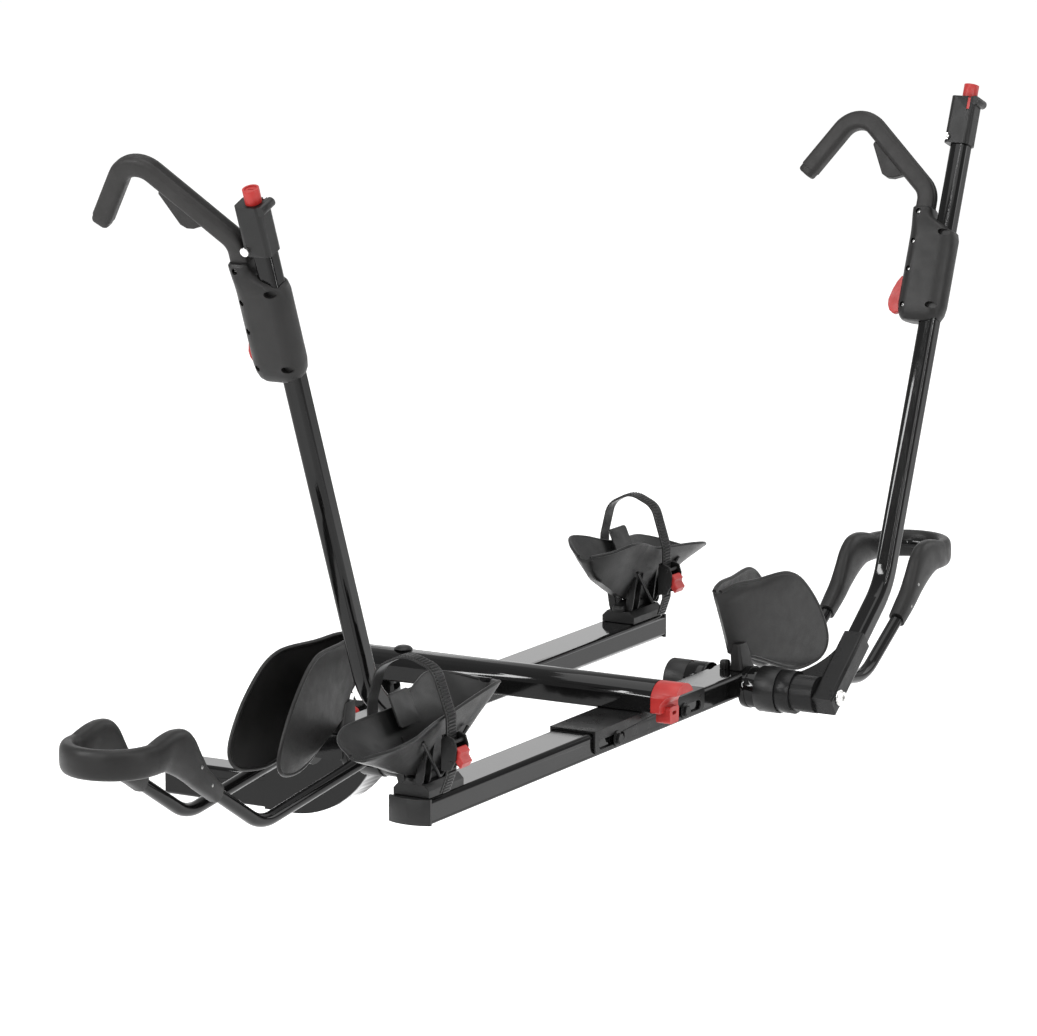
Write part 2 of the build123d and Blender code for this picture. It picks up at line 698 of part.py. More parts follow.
def lock_cylinder():
    """Round keyed lock that stands on the tip cap."""
    with BuildPart() as lock:
        with BuildSketch(mast_plane(TIP_CAP_HIGH + GAP)):
            Circle(11)
        extrude(amount=20)
        with BuildSketch(mast_plane(TIP_CAP_HIGH + GAP + 20)):
            Circle(8.2)
        extrude(amount=-1.5, mode=Mode.SUBTRACT)
        with BuildSketch(mast_plane(TIP_CAP_HIGH + GAP + 18.5)):
            Rectangle(1.6, 8)
        extrude(amount=-5, mode=Mode.SUBTRACT)
    return lock.part


# ---------------------------------------------------------------- hook carriage
# q is Y from the mast's axis, u runs up the mast and is 0 at the housing's foot
def hook_mast_plane(u=0.0):
    return mast_plane(HOUSING_LOW + u)


def hook_side_plane(p=0.0):
    side = mast_side_plane(p)
    return Plane(origin=side.origin + side.y_dir * HOUSING_LOW, x_dir=side.x_dir, z_dir=side.z_dir)


def housing_outline():
    """Side view of the housing: rounded foot, shoulder on the near side, neck on the arm's side."""
    near = HOUSING_SHIFT - HOUSING_DEPTH / 2
    far = HOUSING_SHIFT + HOUSING_DEPTH / 2
    with BuildSketch() as outline:
        with BuildLine():
            Line((near, 24), (near, HOUSING_LENGTH - 34))
            ThreePointArc((near, HOUSING_LENGTH - 34), (near + 5, HOUSING_LENGTH - 21), (near + 17, HOUSING_LENGTH - 14))
            Polyline((near + 17, HOUSING_LENGTH - 14), (far - 38, HOUSING_LENGTH), (far, HOUSING_LENGTH), (far, 26))
            ThreePointArc((far, 26), (far - 8, 10), (far - 30, 2))
            Line((far - 30, 2), (near + 20, 0))
            ThreePointArc((near + 20, 0), (near + 6, 8), (near, 24))
        make_face()
    return outline.sketch


def housing_half(side, trigger_p):
    """One moulded half of the hook's housing; side is +1 above the parting plane and -1 below it."""
    with BuildPart() as half:
        with BuildSketch(hook_side_plane()):
            add(housing_outline())
        extrude(amount=side * HOUSING_T / 2)
        outward = Axis(hook_side_plane().origin, hook_side_plane().z_dir * side)
        fillet(half.faces().sort_by(outward)[-1].edges(), 8)
        with BuildSketch(hook_mast_plane(-20)):
            RectangleRounded(MAST_W + 2 * GAP, MAST_W + 2 * GAP, 7)
        extrude(amount=HOUSING_LENGTH + 40, mode=Mode.SUBTRACT)
        with BuildSketch(hook_mast_plane(ARM_START)):
            with Locations((0, ARM_Q)):
                RectangleRounded(ARM_W, ARM_D, 8)
        extrude(amount=80, mode=Mode.SUBTRACT)
        with BuildSketch(hook_side_plane(trigger_p)):
            with Locations((59, 39)):
                Rectangle(62, 70)
        extrude(amount=TRIGGER_T / 2 + 0.5, both=True, mode=Mode.SUBTRACT)
        with BuildSketch(hook_side_plane(trigger_p)):
            with Locations(TRIGGER_PIVOT):
                Circle(3 + RUN)
        extrude(amount=TRIGGER_T / 2 + 3, both=True, mode=Mode.SUBTRACT)
        with BuildSketch(hook_side_plane(side * HOUSING_T / 2)):
            with Locations(*[(SCREW_Q, u) for u in SCREW_U]):
                Circle(4.2)
        extrude(amount=-side * 6, mode=Mode.SUBTRACT)
        with BuildSketch(hook_side_plane(side * HOUSING_T / 2)):
            with Locations(*[(SCREW_Q, u) for u in SCREW_U]):
                Circle(2)
        extrude(amount=-side * 11.4, mode=Mode.SUBTRACT)
        with BuildSketch(hook_side_plane(side * HOUSING_T / 2)):
            with Locations((-11, 134), (-11, 24)):
                SlotOverall(11, 7)
        extrude(amount=-side * 6, mode=Mode.SUBTRACT)
    return half.part


def hook_screws(side):
    """Four short screws along one face of the housing."""
    with BuildPart() as screws:
        with BuildSketch(hook_side_plane(side * (HOUSING_T / 2 - 3))):
            with Locations(*[(SCREW_Q, u) for u in SCREW_U]):
                Circle(3.6)
        extrude(amount=-side * 3)
        with BuildSketch(hook_side_plane(side * (HOUSING_T / 2 - 3))):
            with Locations(*[(SCREW_Q, u) for u in SCREW_U]):
                Circle(2)
        extrude(amount=-side * 8.2)
        with BuildSketch(hook_side_plane(side * (HOUSING_T / 2 - 3))):
            with Locations(*[(SCREW_Q, u) for u in SCREW_U]):
                RegularPolygon(1.6, 6)
        extrude(amount=-side * 2, mode=Mode.SUBTRACT)
    return screws.part


def hook_arm():
    """The arm that goes over the front wheel: up from the housing, across, and down at the tip."""
    with BuildPart() as arm:
        with BuildLine(hook_side_plane()) as path:
            FilletPolyline((ARM_Q, ARM_START), (ARM_Q, 197), (173, 316), (243, 210), radius=[32, 36])
        with BuildSketch(hook_mast_plane(ARM_START)):
            with Locations((0, ARM_Q)):
                RectangleRounded(ARM_W, ARM_D, 8)
        sweep(path=path.line)
        with BuildSketch(hook_side_plane(-7)):
            with BuildLine():
                Polyline((68, 222), (84, 219))
                ThreePointArc((84, 219), (98, 212), (116, 216))
                Polyline((116, 216), (139, 262), (130, 275), (68, 222))
            make_face()
        extrude(amount=14)
    return arm.part


def hook_trigger(trigger_p):
    """Red wedge-shaped release, hung on a cross pin in the housing's pocket."""
    with BuildPart() as trigger:
        with BuildSketch(hook_side_plane(trigger_p)):
            with BuildLine():
                Polyline((36, 62), (42, 69), (53, 66), (62, 49), (68, 29), (66, 18), (57, 9), (36, 16), (36, 62))
            make_face()
        extrude(amount=TRIGGER_T / 2, both=True)
        with BuildSketch(hook_side_plane(trigger_p)):
            with Locations(TRIGGER_PIVOT):
                Circle(3)
        extrude(amount=TRIGGER_T / 2 + 2.5, both=True)
    return trigger.part


# ---------------------------------------------------------------- wheel scoop
def wheel_scoop():
    """Two flared leaves that meet in a sloping valley, on a short foot."""
    slope = radians(SCOOP_SLOPE)
    down = Vector(cos(slope), 0, -sin(slope))
    out = Vector(sin(slope), 0, cos(slope))
    top = Vector(SCOOP_TOP[0], SCOOP_Y, SCOOP_TOP[1])
    with BuildPart() as scoop:
        for side in (-1, 1):
            flare = radians(SCOOP_FLARE)
            width_dir = out * cos(flare) + Vector(0, side * sin(flare), 0)
            normal = width_dir.cross(down)
            with BuildSketch(Plane(origin=top, x_dir=width_dir, z_dir=normal)):
                with BuildLine():
                    Polyline((0, 0), (60, 26))
                    ThreePointArc((60, 26), (128, 64), (164, 117))
                    ThreePointArc((164, 117), (192, 168), (197, 210))
                    Polyline((197, 210), (186, 226), (135, 217), (40, 146), (0, 128), (0, 0))
                make_face()
            extrude(amount=side * SCOOP_T)
        with BuildSketch(Plane(origin=top, z_dir=down)):
            Circle(SCOOP_T + 0.5)
        extrude(amount=128)
        with BuildSketch(Plane.XY.offset(TRAY_TOP)):
            with Locations((HUB_X + 8, SCOOP_Y - 3)):
                RectangleRounded(38, 20, 4)
        extrude(amount=22)
    return scoop.part


# ---------------------------------------------------------------- rear cradle
def cradle_clamp():
    """Sliding shoe under the cradle, on the tray's top."""
    with BuildPart() as clamp:
        with BuildSketch(Plane.YZ.offset(CLAMP_X - CLAMP_L / 2)):
            with BuildLine():
                Polyline((-CLAMP_HALF, TRAY_TOP + GAP), (-CLAMP_HALF, CLAMP_TOP - 8), (8 - CLAMP_HALF, CLAMP_TOP),
                         (CLAMP_HALF - 8, CLAMP_TOP), (CLAMP_HALF, CLAMP_TOP - 8), (CLAMP_HALF, TRAY_TOP + GAP),
                         (-CLAMP_HALF, TRAY_TOP + GAP))
            make_face()
        extrude(amount=CLAMP_L)
    return clamp.part


def wheel_cradle():
    """Boat-shaped cradle for the rear wheel: twisted leaves, pedestal and gusset ribs."""
    stations = [(396, 296, 14, 302), (452, 245, 52, 317), (505, 217, 43, 304), (556, 207, 36, 291),
                (610, 215, 42, 289), (668, 236, 53, 283), (722, 257, 14, 262)]
    with BuildPart() as cradle:
        for x, valley, rim_y, rim_z in stations:
            with BuildSketch(Plane.YZ.offset(-x)):
                with BuildLine():
                    Polyline((-rim_y - LEAF_T, rim_z), (-8, valley - LEAF_T), (8, valley - LEAF_T),
                             (rim_y + LEAF_T, rim_z), (rim_y, rim_z + 1), (3, valley), (-3, valley),
                             (-rim_y, rim_z + 1), (-rim_y - LEAF_T, rim_z))
                make_face()
        loft(ruled=True)
        with BuildSketch(side_plane(9)):
            with BuildLine():
                Polyline((-503, CLAMP_TOP), (-588, CLAMP_TOP), (-608, 211), (-556, 204), (-512, 214), (-503, 222),
                         (-503, CLAMP_TOP))
            make_face()
        extrude(amount=18)
        for x in (-522, -586):
            with BuildSketch(Plane.YZ.offset(x)):
                for side in (-1, 1):
                    with BuildLine():
                        Polyline((side * 8, CLAMP_TOP), (side * 18, CLAMP_TOP), (side * 31, 262), (side * 27, 262),
                                 (side * 8, 212), (side * 8, CLAMP_TOP))
                    make_face()
            extrude(amount=4)
    return cradle.part


def ladder_strap():
    """Toothed strap that arches over the rear wheel and hangs free on the far side."""
    with BuildPart() as strap:
        with BuildLine(Plane.YZ.offset(STRAP_X)) as path:
            FilletPolyline((-38, 189), (-47, 214), (-47, 290), (-26, 352), (14, 368), (54, 348), (66, 300),
                           (66, 184), radius=[12, 30, 28, 34, 30, 30])
        with BuildSketch(Plane(origin=path.line @ 0, x_dir=(1, 0, 0), z_dir=path.line % 0)):
            RectangleRounded(STRAP_W, STRAP_T, 1.5)
        sweep(path=path.line)
    return strap.part


def buckle_body():
    """Ratchet buckle round the strap's near run, with two ears for the latch."""
    with BuildPart() as buckle:
        with BuildSketch(Plane.XY.offset(218)):
            with Locations((STRAP_X, -48)):
                RectangleRounded(STRAP_W + 10, 14, 3)
                Rectangle(STRAP_W + 0.4, STRAP_T + 2.4, mode=Mode.SUBTRACT)
        extrude(amount=50)
        for side in (-1, 1):
            with BuildSketch(Plane.YZ.offset(STRAP_X + side * (STRAP_W / 2 + 0.3))):
                with Locations((LATCH_Y + 3, LATCH_Z)):
                    Rectangle(6, 9)
                with Locations((LATCH_Y, LATCH_Z)):
                    Circle(4.5)
                    Circle(2 + RUN, mode=Mode.SUBTRACT)
            extrude(amount=side * 4)
    return buckle.part


def buckle_latch():
    """Red release lever of the ratchet buckle, with its pin."""
    with BuildPart() as latch:
        with BuildSketch(Plane.YZ.offset(STRAP_X - STRAP_W / 2)):
            with Locations((LATCH_Y, LATCH_Z)):
                Circle(3.6)
            with BuildLine():
                Polyline((LATCH_Y + 2, LATCH_Z + 2), (LATCH_Y - 3, LATCH_Z + 3), (-70, 230), (-66, 226),
                         (-57.5, 246), (LATCH_Y + 2, LATCH_Z + 2))
            make_face()
        extrude(amount=STRAP_W)
        with BuildSketch(Plane.YZ.offset(STRAP_X - STRAP_W / 2 - 4)):
            with Locations((LATCH_Y, LATCH_Z)):
                Circle(2)
        extrude(amount=STRAP_W + 8)
    return latch.part


# ---------------------------------------------------------------- every node
HOOK_PIECES = ("hook_housing_front", "hook_housing_back", "hook_arm", "hook_screws", "hook_trigger")


def common_pieces():
    """The pieces that both trays share."""
    return {
        "hitch_stinger": hitch_stinger(),
        "pivot_bracket": pivot_bracket(),
        "pivot_bolt": pivot_bolt(),
        "tilt_pin": tilt_pin(),
        "tilt_pin_grip": tilt_pin_grip(),
        "spine_tube": spine_tube(),
        "spine_plug": spine_plug(),
        "tilt_handle": tilt_handle(),
    }


def tray_pieces(screw_side):
    """The pieces of one tray, in the tray frame; the trigger keeps clear of the screws' side."""
    trigger_p = TRIGGER_P[screw_side]
    return {
        "tray_tube": tray_tube(),
        "tray_end_cap": tray_end_cap(),
        "tray_saddle": tray_saddle(),
        "saddle_bolts": saddle_bolts(),
        "hub_axle": hub_axle(),
        "hub_end_cap": hub_end_cap(),
        "wheel_scoop": wheel_scoop(),
        "hoop_tube": hoop_tube(),
        "hoop_cover": hoop_cover(),
        "hub_collar": hub_collar(),
        "hoop_lock_knob": hoop_lock_knob(),
        "mast_foot": mast_foot(),
        "mast_tube": mast_tube(),
        "mast_tip_cap": mast_tip_cap(),
        "tip_bolt": tip_bolt(),
        "lock_cylinder": lock_cylinder(),
        "hook_housing_front": housing_half(-1, trigger_p),
        "hook_housing_back": housing_half(1, trigger_p),
        "hook_arm": hook_arm(),
        "hook_screws": hook_screws(screw_side),
        "hook_trigger": hook_trigger(trigger_p),
        "cradle_clamp": cradle_clamp(),
        "wheel_cradle": wheel_cradle(),
        "ladder_strap": ladder_strap(),
        "buckle_body": buckle_body(),
        "buckle_latch": buckle_latch(),
    }


def write(node, piece):
    piece.label = node
    export_step(piece, f"parts/{node}.step")


def main():
    os.makedirs("parts", exist_ok=True)
    for node, piece in common_pieces().items():
        write(node, piece)
    for tray, (centre, mirrored) in TRAYS.items():
        hook_raise = mast_plane().z_dir * (INNER_HOOK_RAISE if mirrored else 0)
        for name, piece in tray_pieces(1 if mirrored else -1).items():
            if name in HOOK_PIECES:
                piece = piece.moved(Location(hook_raise))
            if mirrored:
                piece = mirror(piece, about=Plane.YZ)
            write(f"{name}_{tray}", piece.moved(Location((0, centre, 0))))


main()
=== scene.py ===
"""Looks of the hitch mounted bike rack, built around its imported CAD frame. Metres, same frame as the CAD."""

import json
import math

import bmesh
import bpy
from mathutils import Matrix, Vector


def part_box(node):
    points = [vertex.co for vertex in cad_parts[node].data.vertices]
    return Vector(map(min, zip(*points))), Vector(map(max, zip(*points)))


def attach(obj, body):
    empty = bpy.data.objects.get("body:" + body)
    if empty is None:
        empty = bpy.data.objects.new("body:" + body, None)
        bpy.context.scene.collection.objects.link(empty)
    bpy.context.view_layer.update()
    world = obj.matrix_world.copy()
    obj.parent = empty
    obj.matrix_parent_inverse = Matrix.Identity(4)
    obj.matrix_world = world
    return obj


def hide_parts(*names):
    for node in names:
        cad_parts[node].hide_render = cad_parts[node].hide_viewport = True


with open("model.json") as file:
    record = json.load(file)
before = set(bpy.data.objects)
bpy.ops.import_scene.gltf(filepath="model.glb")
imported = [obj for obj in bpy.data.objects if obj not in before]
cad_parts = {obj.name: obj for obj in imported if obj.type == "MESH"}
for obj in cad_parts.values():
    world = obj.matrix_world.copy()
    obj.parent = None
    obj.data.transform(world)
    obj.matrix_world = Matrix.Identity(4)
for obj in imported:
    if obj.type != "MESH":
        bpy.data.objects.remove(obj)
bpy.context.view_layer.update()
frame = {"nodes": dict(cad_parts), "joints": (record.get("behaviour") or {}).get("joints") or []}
TRAYS = ("outer", "inner")

# ---------------------------------------------------------------- camera, light and floor
CAMERA_AZIMUTH = math.radians(-60.236)
CAMERA_ELEVATION = math.radians(10.861)
CAMERA_PLACE = Vector((-6.551, -4.239, 1.884))
CAMERA_LENS = 190.7
HITCH_HEIGHT = 0.42
MM = 0.001


def camera_back():
    """Unit vector from the object to the camera."""
    level = math.cos(CAMERA_ELEVATION)
    height = math.sin(CAMERA_ELEVATION)
    return Vector((math.sin(CAMERA_AZIMUTH) * level, -math.cos(CAMERA_AZIMUTH) * level, height))


def add_camera():
    """The photograph's camera."""
    data = bpy.data.cameras.new("camera")
    data.lens = CAMERA_LENS
    data.sensor_width = 36
    data.clip_end = 100
    camera = bpy.data.objects.new("camera", data)
    bpy.context.scene.collection.objects.link(camera)
    camera.location = CAMERA_PLACE
    camera.rotation_euler = camera_back().to_track_quat("Z", "Y").to_euler()
    bpy.context.scene.camera = camera


def add_area(name, place, target, size, power, color=(1, 1, 1)):
    """A rectangular soft light that faces a target."""
    data = bpy.data.lights.new(name, "AREA")
    data.shape = "RECTANGLE"
    data.size, data.size_y = size
    data.energy = power
    data.color = color
    light = bpy.data.objects.new(name, data)
    bpy.context.scene.collection.objects.link(light)
    light.location = place
    light.rotation_euler = (Vector(place) - Vector(target)).to_track_quat("Z", "Y").to_euler()
    return light


def add_studio():
    """Pale sky and soft area lights, with strips that draw bright lines on the gloss tubes."""
    scene = bpy.context.scene
    scene.view_settings.view_transform = "Standard"
    world = bpy.data.worlds.new("studio")
    world.use_nodes = True
    nodes, links = world.node_tree.nodes, world.node_tree.links
    direction = nodes.new("ShaderNodeTexCoord")
    height = nodes.new("ShaderNodeSeparateXYZ")
    links.new(direction.outputs["Generated"], height.inputs["Vector"])
    links.new(ramp(nodes, links, height.outputs["Z"], (0.85, 0.85, 0.85, 1), (1, 1, 1, 1), 0.0, 0.75),
              nodes["Background"].inputs["Color"])
    nodes["Background"].inputs["Strength"].default_value = 0.8
    scene.world = world
    middle = (0, -0.5, 0.4)
    add_area("key", (-3.2, -4.0, 4.2), middle, (2.4, 2.4), 95)
    add_area("fill", (3.5, -3.0, 2.2), middle, (2.0, 2.6), 45)
    add_area("top", (0, -0.5, 4.5), middle, (4.0, 3.0), 110)
    add_area("mast_strip", (-3.8, 2.1, 3.0), middle, (0.5, 3.0), 170)
    add_area("edge_left", (-4.6, -0.4, 2.4), middle, (0.16, 3.2), 90)
    add_area("edge_right", (-0.6, -4.8, 2.0), middle, (0.16, 3.2), 90)
    add_area("far_sheen", (6.6, 3.3, 1.9), middle, (5.0, 1.6), 22)


def add_floor():
    """Plain pale road below the hitch, low enough for the tilted rack to clear it."""
    mesh = bpy.data.meshes.new("floor")
    size = 40
    level = -HITCH_HEIGHT
    corners = [(-size, -size, level), (size, -size, level), (size, size, level), (-size, size, level)]
    mesh.from_pydata(corners, [], [(0, 1, 2, 3)])
    floor = bpy.data.objects.new("floor", mesh)
    bpy.context.scene.collection.objects.link(floor)
    material = bpy.data.materials.new("floor_paint")
    material.use_nodes = True
    shader = material.node_tree.nodes["Principled BSDF"]
    shader.inputs["Base Color"].default_value = (0.9, 0.9, 0.9, 1)
    shader.inputs["Roughness"].default_value = 0.9
    shader.inputs["Emission Color"].default_value = (1, 1, 1, 1)
    shader.inputs["Emission Strength"].default_value = 0.3
    floor.data.materials.append(material)


# ---------------------------------------------------------------- materials
def new_material(name):
    """An empty node material with its parts."""
    material = bpy.data.materials.new(name)
    material.use_nodes = True
    nodes = material.node_tree.nodes
    return material, nodes, material.node_tree.links, nodes["Principled BSDF"]


def noise(nodes, links, scale, detail=4.0, roughness=0.55, stretch=(1, 1, 1)):
    """Object space noise, 0 to 1."""
    place = nodes.new("ShaderNodeTexCoord")
    mapping = nodes.new("ShaderNodeMapping")
    mapping.inputs["Scale"].default_value = stretch
    texture = nodes.new("ShaderNodeTexNoise")
    texture.inputs["Scale"].default_value = scale
    texture.inputs["Detail"].default_value = detail
    texture.inputs["Roughness"].default_value = roughness
    links.new(place.outputs["Object"], mapping.inputs["Vector"])
    links.new(mapping.outputs["Vector"], texture.inputs["Vector"])
    return texture.outputs["Fac"]


def ramp(nodes, links, source, low, high, start=0.3, end=0.7):
    """Two colours blended by a source."""
    node = nodes.new("ShaderNodeValToRGB")
    node.color_ramp.elements[0].position = start
    node.color_ramp.elements[0].color = low
    node.color_ramp.elements[1].position = end
    node.color_ramp.elements[1].color = high
    links.new(source, node.inputs["Fac"])
    return node.outputs["Color"]


def spread(nodes, links, source, low, high):
    """The middle of a noise stretched between two values."""
    node = nodes.new("ShaderNodeMapRange")
    node.inputs["From Min"].default_value = 0.3
    node.inputs["From Max"].default_value = 0.7
    node.inputs["To Min"].default_value = low
    node.inputs["To Max"].default_value = high
    links.new(source, node.inputs["Value"])
    return node.outputs["Result"]


def bump(nodes, links, shader, source, distance, strength=0.5):
    """Fine relief on a shader."""
    node = nodes.new("ShaderNodeBump")
    node.inputs["Distance"].default_value = distance
    node.inputs["Strength"].default_value = strength
    links.new(source, node.inputs["Height"])
    links.new(node.outputs["Normal"], shader.inputs["Normal"])


def grey(value, tint=(1, 1, 1)):
    """A grey with an optional tint."""
    return (value * tint[0], value * tint[1], value * tint[2], 1)


def paint(name, value, rough, coat, peel):
    """Black powder coat: deep base, glossy coat, faint orange peel and dust."""
    material, nodes, links, shader = new_material(name)
    cloud = noise(nodes, links, 9, 3)
    color = ramp(nodes, links, cloud, grey(value), grey(value * 1.7, (1, 1, 1.02)))
    links.new(color, shader.inputs["Base Color"])
    wear = spread(nodes, links, noise(nodes, links, 45, 5), rough * 0.75, rough * 1.3)
    links.new(wear, shader.inputs["Roughness"])
    shader.inputs["IOR"].default_value = 1.22
    shader.inputs["Coat Weight"].default_value = coat
    shader.inputs["Coat Roughness"].default_value = 0.04
    bump(nodes, links, shader, noise(nodes, links, 420, 2), peel, 0.25)
    return material


def moulded(name, low, high, rough, grain, tint=(1, 1, 1)):
    """Moulded plastic: fine spark-eroded grain, cloudy colour and roughness."""
    material, nodes, links, shader = new_material(name)
    cloud = noise(nodes, links, 14, 4)
    links.new(ramp(nodes, links, cloud, grey(low, tint), grey(high, tint)), shader.inputs["Base Color"])
    wear = spread(nodes, links, noise(nodes, links, 60, 5), rough * 0.85, rough * 1.12)
    links.new(wear, shader.inputs["Roughness"])
    shader.inputs["Specular IOR Level"].default_value = 0.22
    bump(nodes, links, shader, noise(nodes, links, 1500, 3, 0.7), grain, 0.5)
    return material


def red_plastic(name, low, high, rough):
    """Moulded red plastic with a fine grain."""
    material, nodes, links, shader = new_material(name)
    links.new(ramp(nodes, links, noise(nodes, links, 22, 4), low, high), shader.inputs["Base Color"])
    wear = spread(nodes, links, noise(nodes, links, 80, 4), rough * 0.8, rough * 1.2)
    links.new(wear, shader.inputs["Roughness"])
    shader.inputs["Specular IOR Level"].default_value = 0.3
    bump(nodes, links, shader, noise(nodes, links, 1300, 3), 0.00012, 0.4)
    return material


def metal(name, value, rough, stretch):
    """Zinc plated steel with fine turning marks."""
    material, nodes, links, shader = new_material(name)
    shader.inputs["Metallic"].default_value = 1
    marks = noise(nodes, links, 300, 4, 0.6, stretch)
    color = ramp(nodes, links, marks, grey(value * 0.8), grey(value, (1, 0.995, 0.97)))
    links.new(color, shader.inputs["Base Color"])
    links.new(spread(nodes, links, marks, rough * 0.7, rough * 1.4), shader.inputs["Roughness"])
    bump(nodes, links, shader, marks, 0.0001, 0.3)
    return material


GLOSS_BLACK = paint("gloss_black_paint", 0.0018, 0.07, 0.12, 0.00008)
SATIN_BLACK = paint("satin_black_casting", 0.004, 0.3, 0.0, 0.0003)
HOOP_BLACK = paint("hoop_black_paint", 0.002, 0.12, 0.06, 0.00012)
PLASTIC = moulded("charcoal_plastic", 0.003, 0.0055, 0.4, 0.0002)
SOFT_PLASTIC = moulded("soft_charcoal_plastic", 0.004, 0.0075, 0.44, 0.00025, (1.04, 1, 0.98))
CAP_PLASTIC = moulded("cap_plastic", 0.006, 0.009, 0.43, 0.0002)
RUBBER = moulded("hook_rubber", 0.007, 0.011, 0.5, 0.0003, (1.06, 1, 0.97))
STRAP_PLASTIC = moulded("strap_plastic", 0.005, 0.009, 0.4, 0.00015)
RED = red_plastic("red_plastic", (0.2, 0.009, 0.008, 1), (0.27, 0.014, 0.012, 1), 0.42)
ZINC = metal("zinc_plate", 0.72, 0.28, (1, 1, 5))
DARK_STEEL = metal("dark_steel", 0.3, 0.3, (1, 1, 5))

add_camera()
add_studio()
add_floor()

NODE_MATERIAL = {
    "hitch_stinger": GLOSS_BLACK, "pivot_bracket": GLOSS_BLACK, "pivot_bolt": ZINC, "tilt_pin": ZINC,
    "tilt_pin_grip": RED, "spine_tube": GLOSS_BLACK, "spine_plug": PLASTIC, "tilt_handle": RED,
    "tray_tube": GLOSS_BLACK, "tray_end_cap": CAP_PLASTIC, "tray_saddle": SATIN_BLACK,
    "saddle_bolts": SATIN_BLACK,
    "hub_axle": ZINC, "hub_end_cap": PLASTIC, "wheel_scoop": SOFT_PLASTIC, "hoop_tube": HOOP_BLACK,
    "hoop_cover": SOFT_PLASTIC, "hub_collar": PLASTIC, "hoop_lock_knob": PLASTIC, "mast_foot": SATIN_BLACK,
    "mast_tube": GLOSS_BLACK, "mast_tip_cap": PLASTIC, "tip_bolt": ZINC, "lock_cylinder": RED,
    "hook_housing_front": SOFT_PLASTIC, "hook_housing_back": SOFT_PLASTIC, "hook_arm": RUBBER,
    "hook_screws": ZINC, "hook_trigger": RED, "cradle_clamp": PLASTIC, "wheel_cradle": PLASTIC,
    "ladder_strap": STRAP_PLASTIC, "buckle_body": PLASTIC, "buckle_latch": RED,
}


def base_name(node):
    """The node's name without its tray."""
    for tray in TRAYS:
        if node.endswith("_" + tray):
            return node[:-len(tray) - 1]
    return node


for node, piece in frame["nodes"].items():
    piece.data.materials.clear()
    piece.data.materials.append(NODE_MATERIAL[base_name(node)])


# ---------------------------------------------------------------- tray frames, taken from the joints
JOINTS = {joint["name"]: joint for joint in frame["joints"]}
# metres up the mast: the lock above the bend, the housing's foot below the trigger's pin
LOCK_U = 0.745
TRIGGER_U = 0.060


class Tray:
    """Local frame of one tray: x toward its head end, y from its centre plane, z as in the CAD."""

    def __init__(self, name):
        hub = Vector(JOINTS["hoop_fold_" + name]["pos_m"])
        up = Vector(JOINTS["hook_slide_" + name]["axis"])
        lock = Vector(JOINTS["lock_turn_" + name]["pos_m"])
        trigger = Vector(JOINTS["trigger_squeeze_" + name]["pos_m"])
        self.name = name
        self.sign = 1 if hub.x > 0 else -1
        self.middle = hub.y
        self.hub = Vector((abs(hub.x), 0, hub.z))
        self.up = Vector((abs(up.x), 0, up.z))
        self.across = Vector((self.up.z, 0, -self.up.x))
        self.bend = Vector((abs(lock.x), lock.y - self.middle, lock.z)) - self.up * LOCK_U
        trigger = Vector((abs(trigger.x), trigger.y - self.middle, trigger.z)) - self.bend
        self.housing_foot = trigger.dot(self.up) - TRIGGER_U

    def world(self, point):
        """A tray-local point as a point of the CAD frame."""
        return Vector((self.sign * point[0], self.middle + point[1], point[2]))

    def mast(self, p, q, u):
        """A point from the mast's upper run: p across the lean, q along Y, u up the mast. Millimetres."""
        return self.bend + self.across * (p * MM) + Vector((0, q * MM, 0)) + self.up * (u * MM)

    def hook(self, p, q, u):
        """As mast, with u from the housing's foot."""
        return self.mast(p, q, u + self.housing_foot / MM)


TRAY = {name: Tray(name) for name in TRAYS}


# ---------------------------------------------------------------- mesh helpers
def build(name, points, faces, material, body, replaces=(), slot=None, sharp=40, bevel=0):
    """A new piece from points in metres, with its normals, sharp edges, material, body and replaced nodes."""
    mesh = bpy.data.meshes.new(name)
    mesh.from_pydata([tuple(point) for point in points], [], faces)
    mesh.validate()
    work = bmesh.new()
    work.from_mesh(mesh)
    bmesh.ops.remove_doubles(work, verts=work.verts, dist=1e-6)
    bmesh.ops.recalc_face_normals(work, faces=work.faces)
    for face in work.faces:
        face.smooth = True
    for edge in work.edges:
        if len(edge.link_faces) == 2 and edge.calc_face_angle(0) > math.radians(sharp):
            edge.smooth = False
    work.to_mesh(mesh)
    work.free()
    piece = bpy.data.objects.new(name, mesh)
    bpy.context.scene.collection.objects.link(piece)
    mesh.materials.append(material)
    if bevel:
        edge_bevel(piece, bevel)
    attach(piece, body)
    if replaces:
        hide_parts(*replaces)
    return piece


def edge_bevel(piece, width, angle=35, segments=2):
    """Small rounded edges with clean normals."""
    modifier = piece.modifiers.new("edge", "BEVEL")
    modifier.width = width
    modifier.segments = segments
    modifier.limit_method = "ANGLE"
    modifier.angle_limit = math.radians(angle)
    modifier.harden_normals = True


def loft(rings, closed=True, cap_start=True, cap_end=True):
    """Points and faces of a skin over rings that have the same number of points."""
    count = len(rings[0])
    points = [point for ring in rings for point in ring]
    faces = []
    for i in range(len(rings) - 1):
        for j in range(count if closed else count - 1):
            k = (j + 1) % count
            faces.append((i * count + j, i * count + k, (i + 1) * count + k, (i + 1) * count + j))
    if cap_start:
        faces.append(tuple(range(count)))
    if cap_end:
        faces.append(tuple((len(rings) - 1) * count + j for j in range(count)))
    return points, faces


def join(*parts):
    """One (points, faces) pair from several."""
    points, faces = [], []
    for part_points, part_faces in parts:
        start = len(points)
        points += list(part_points)
        faces += [tuple(index + start for index in face) for face in part_faces]
    return points, faces


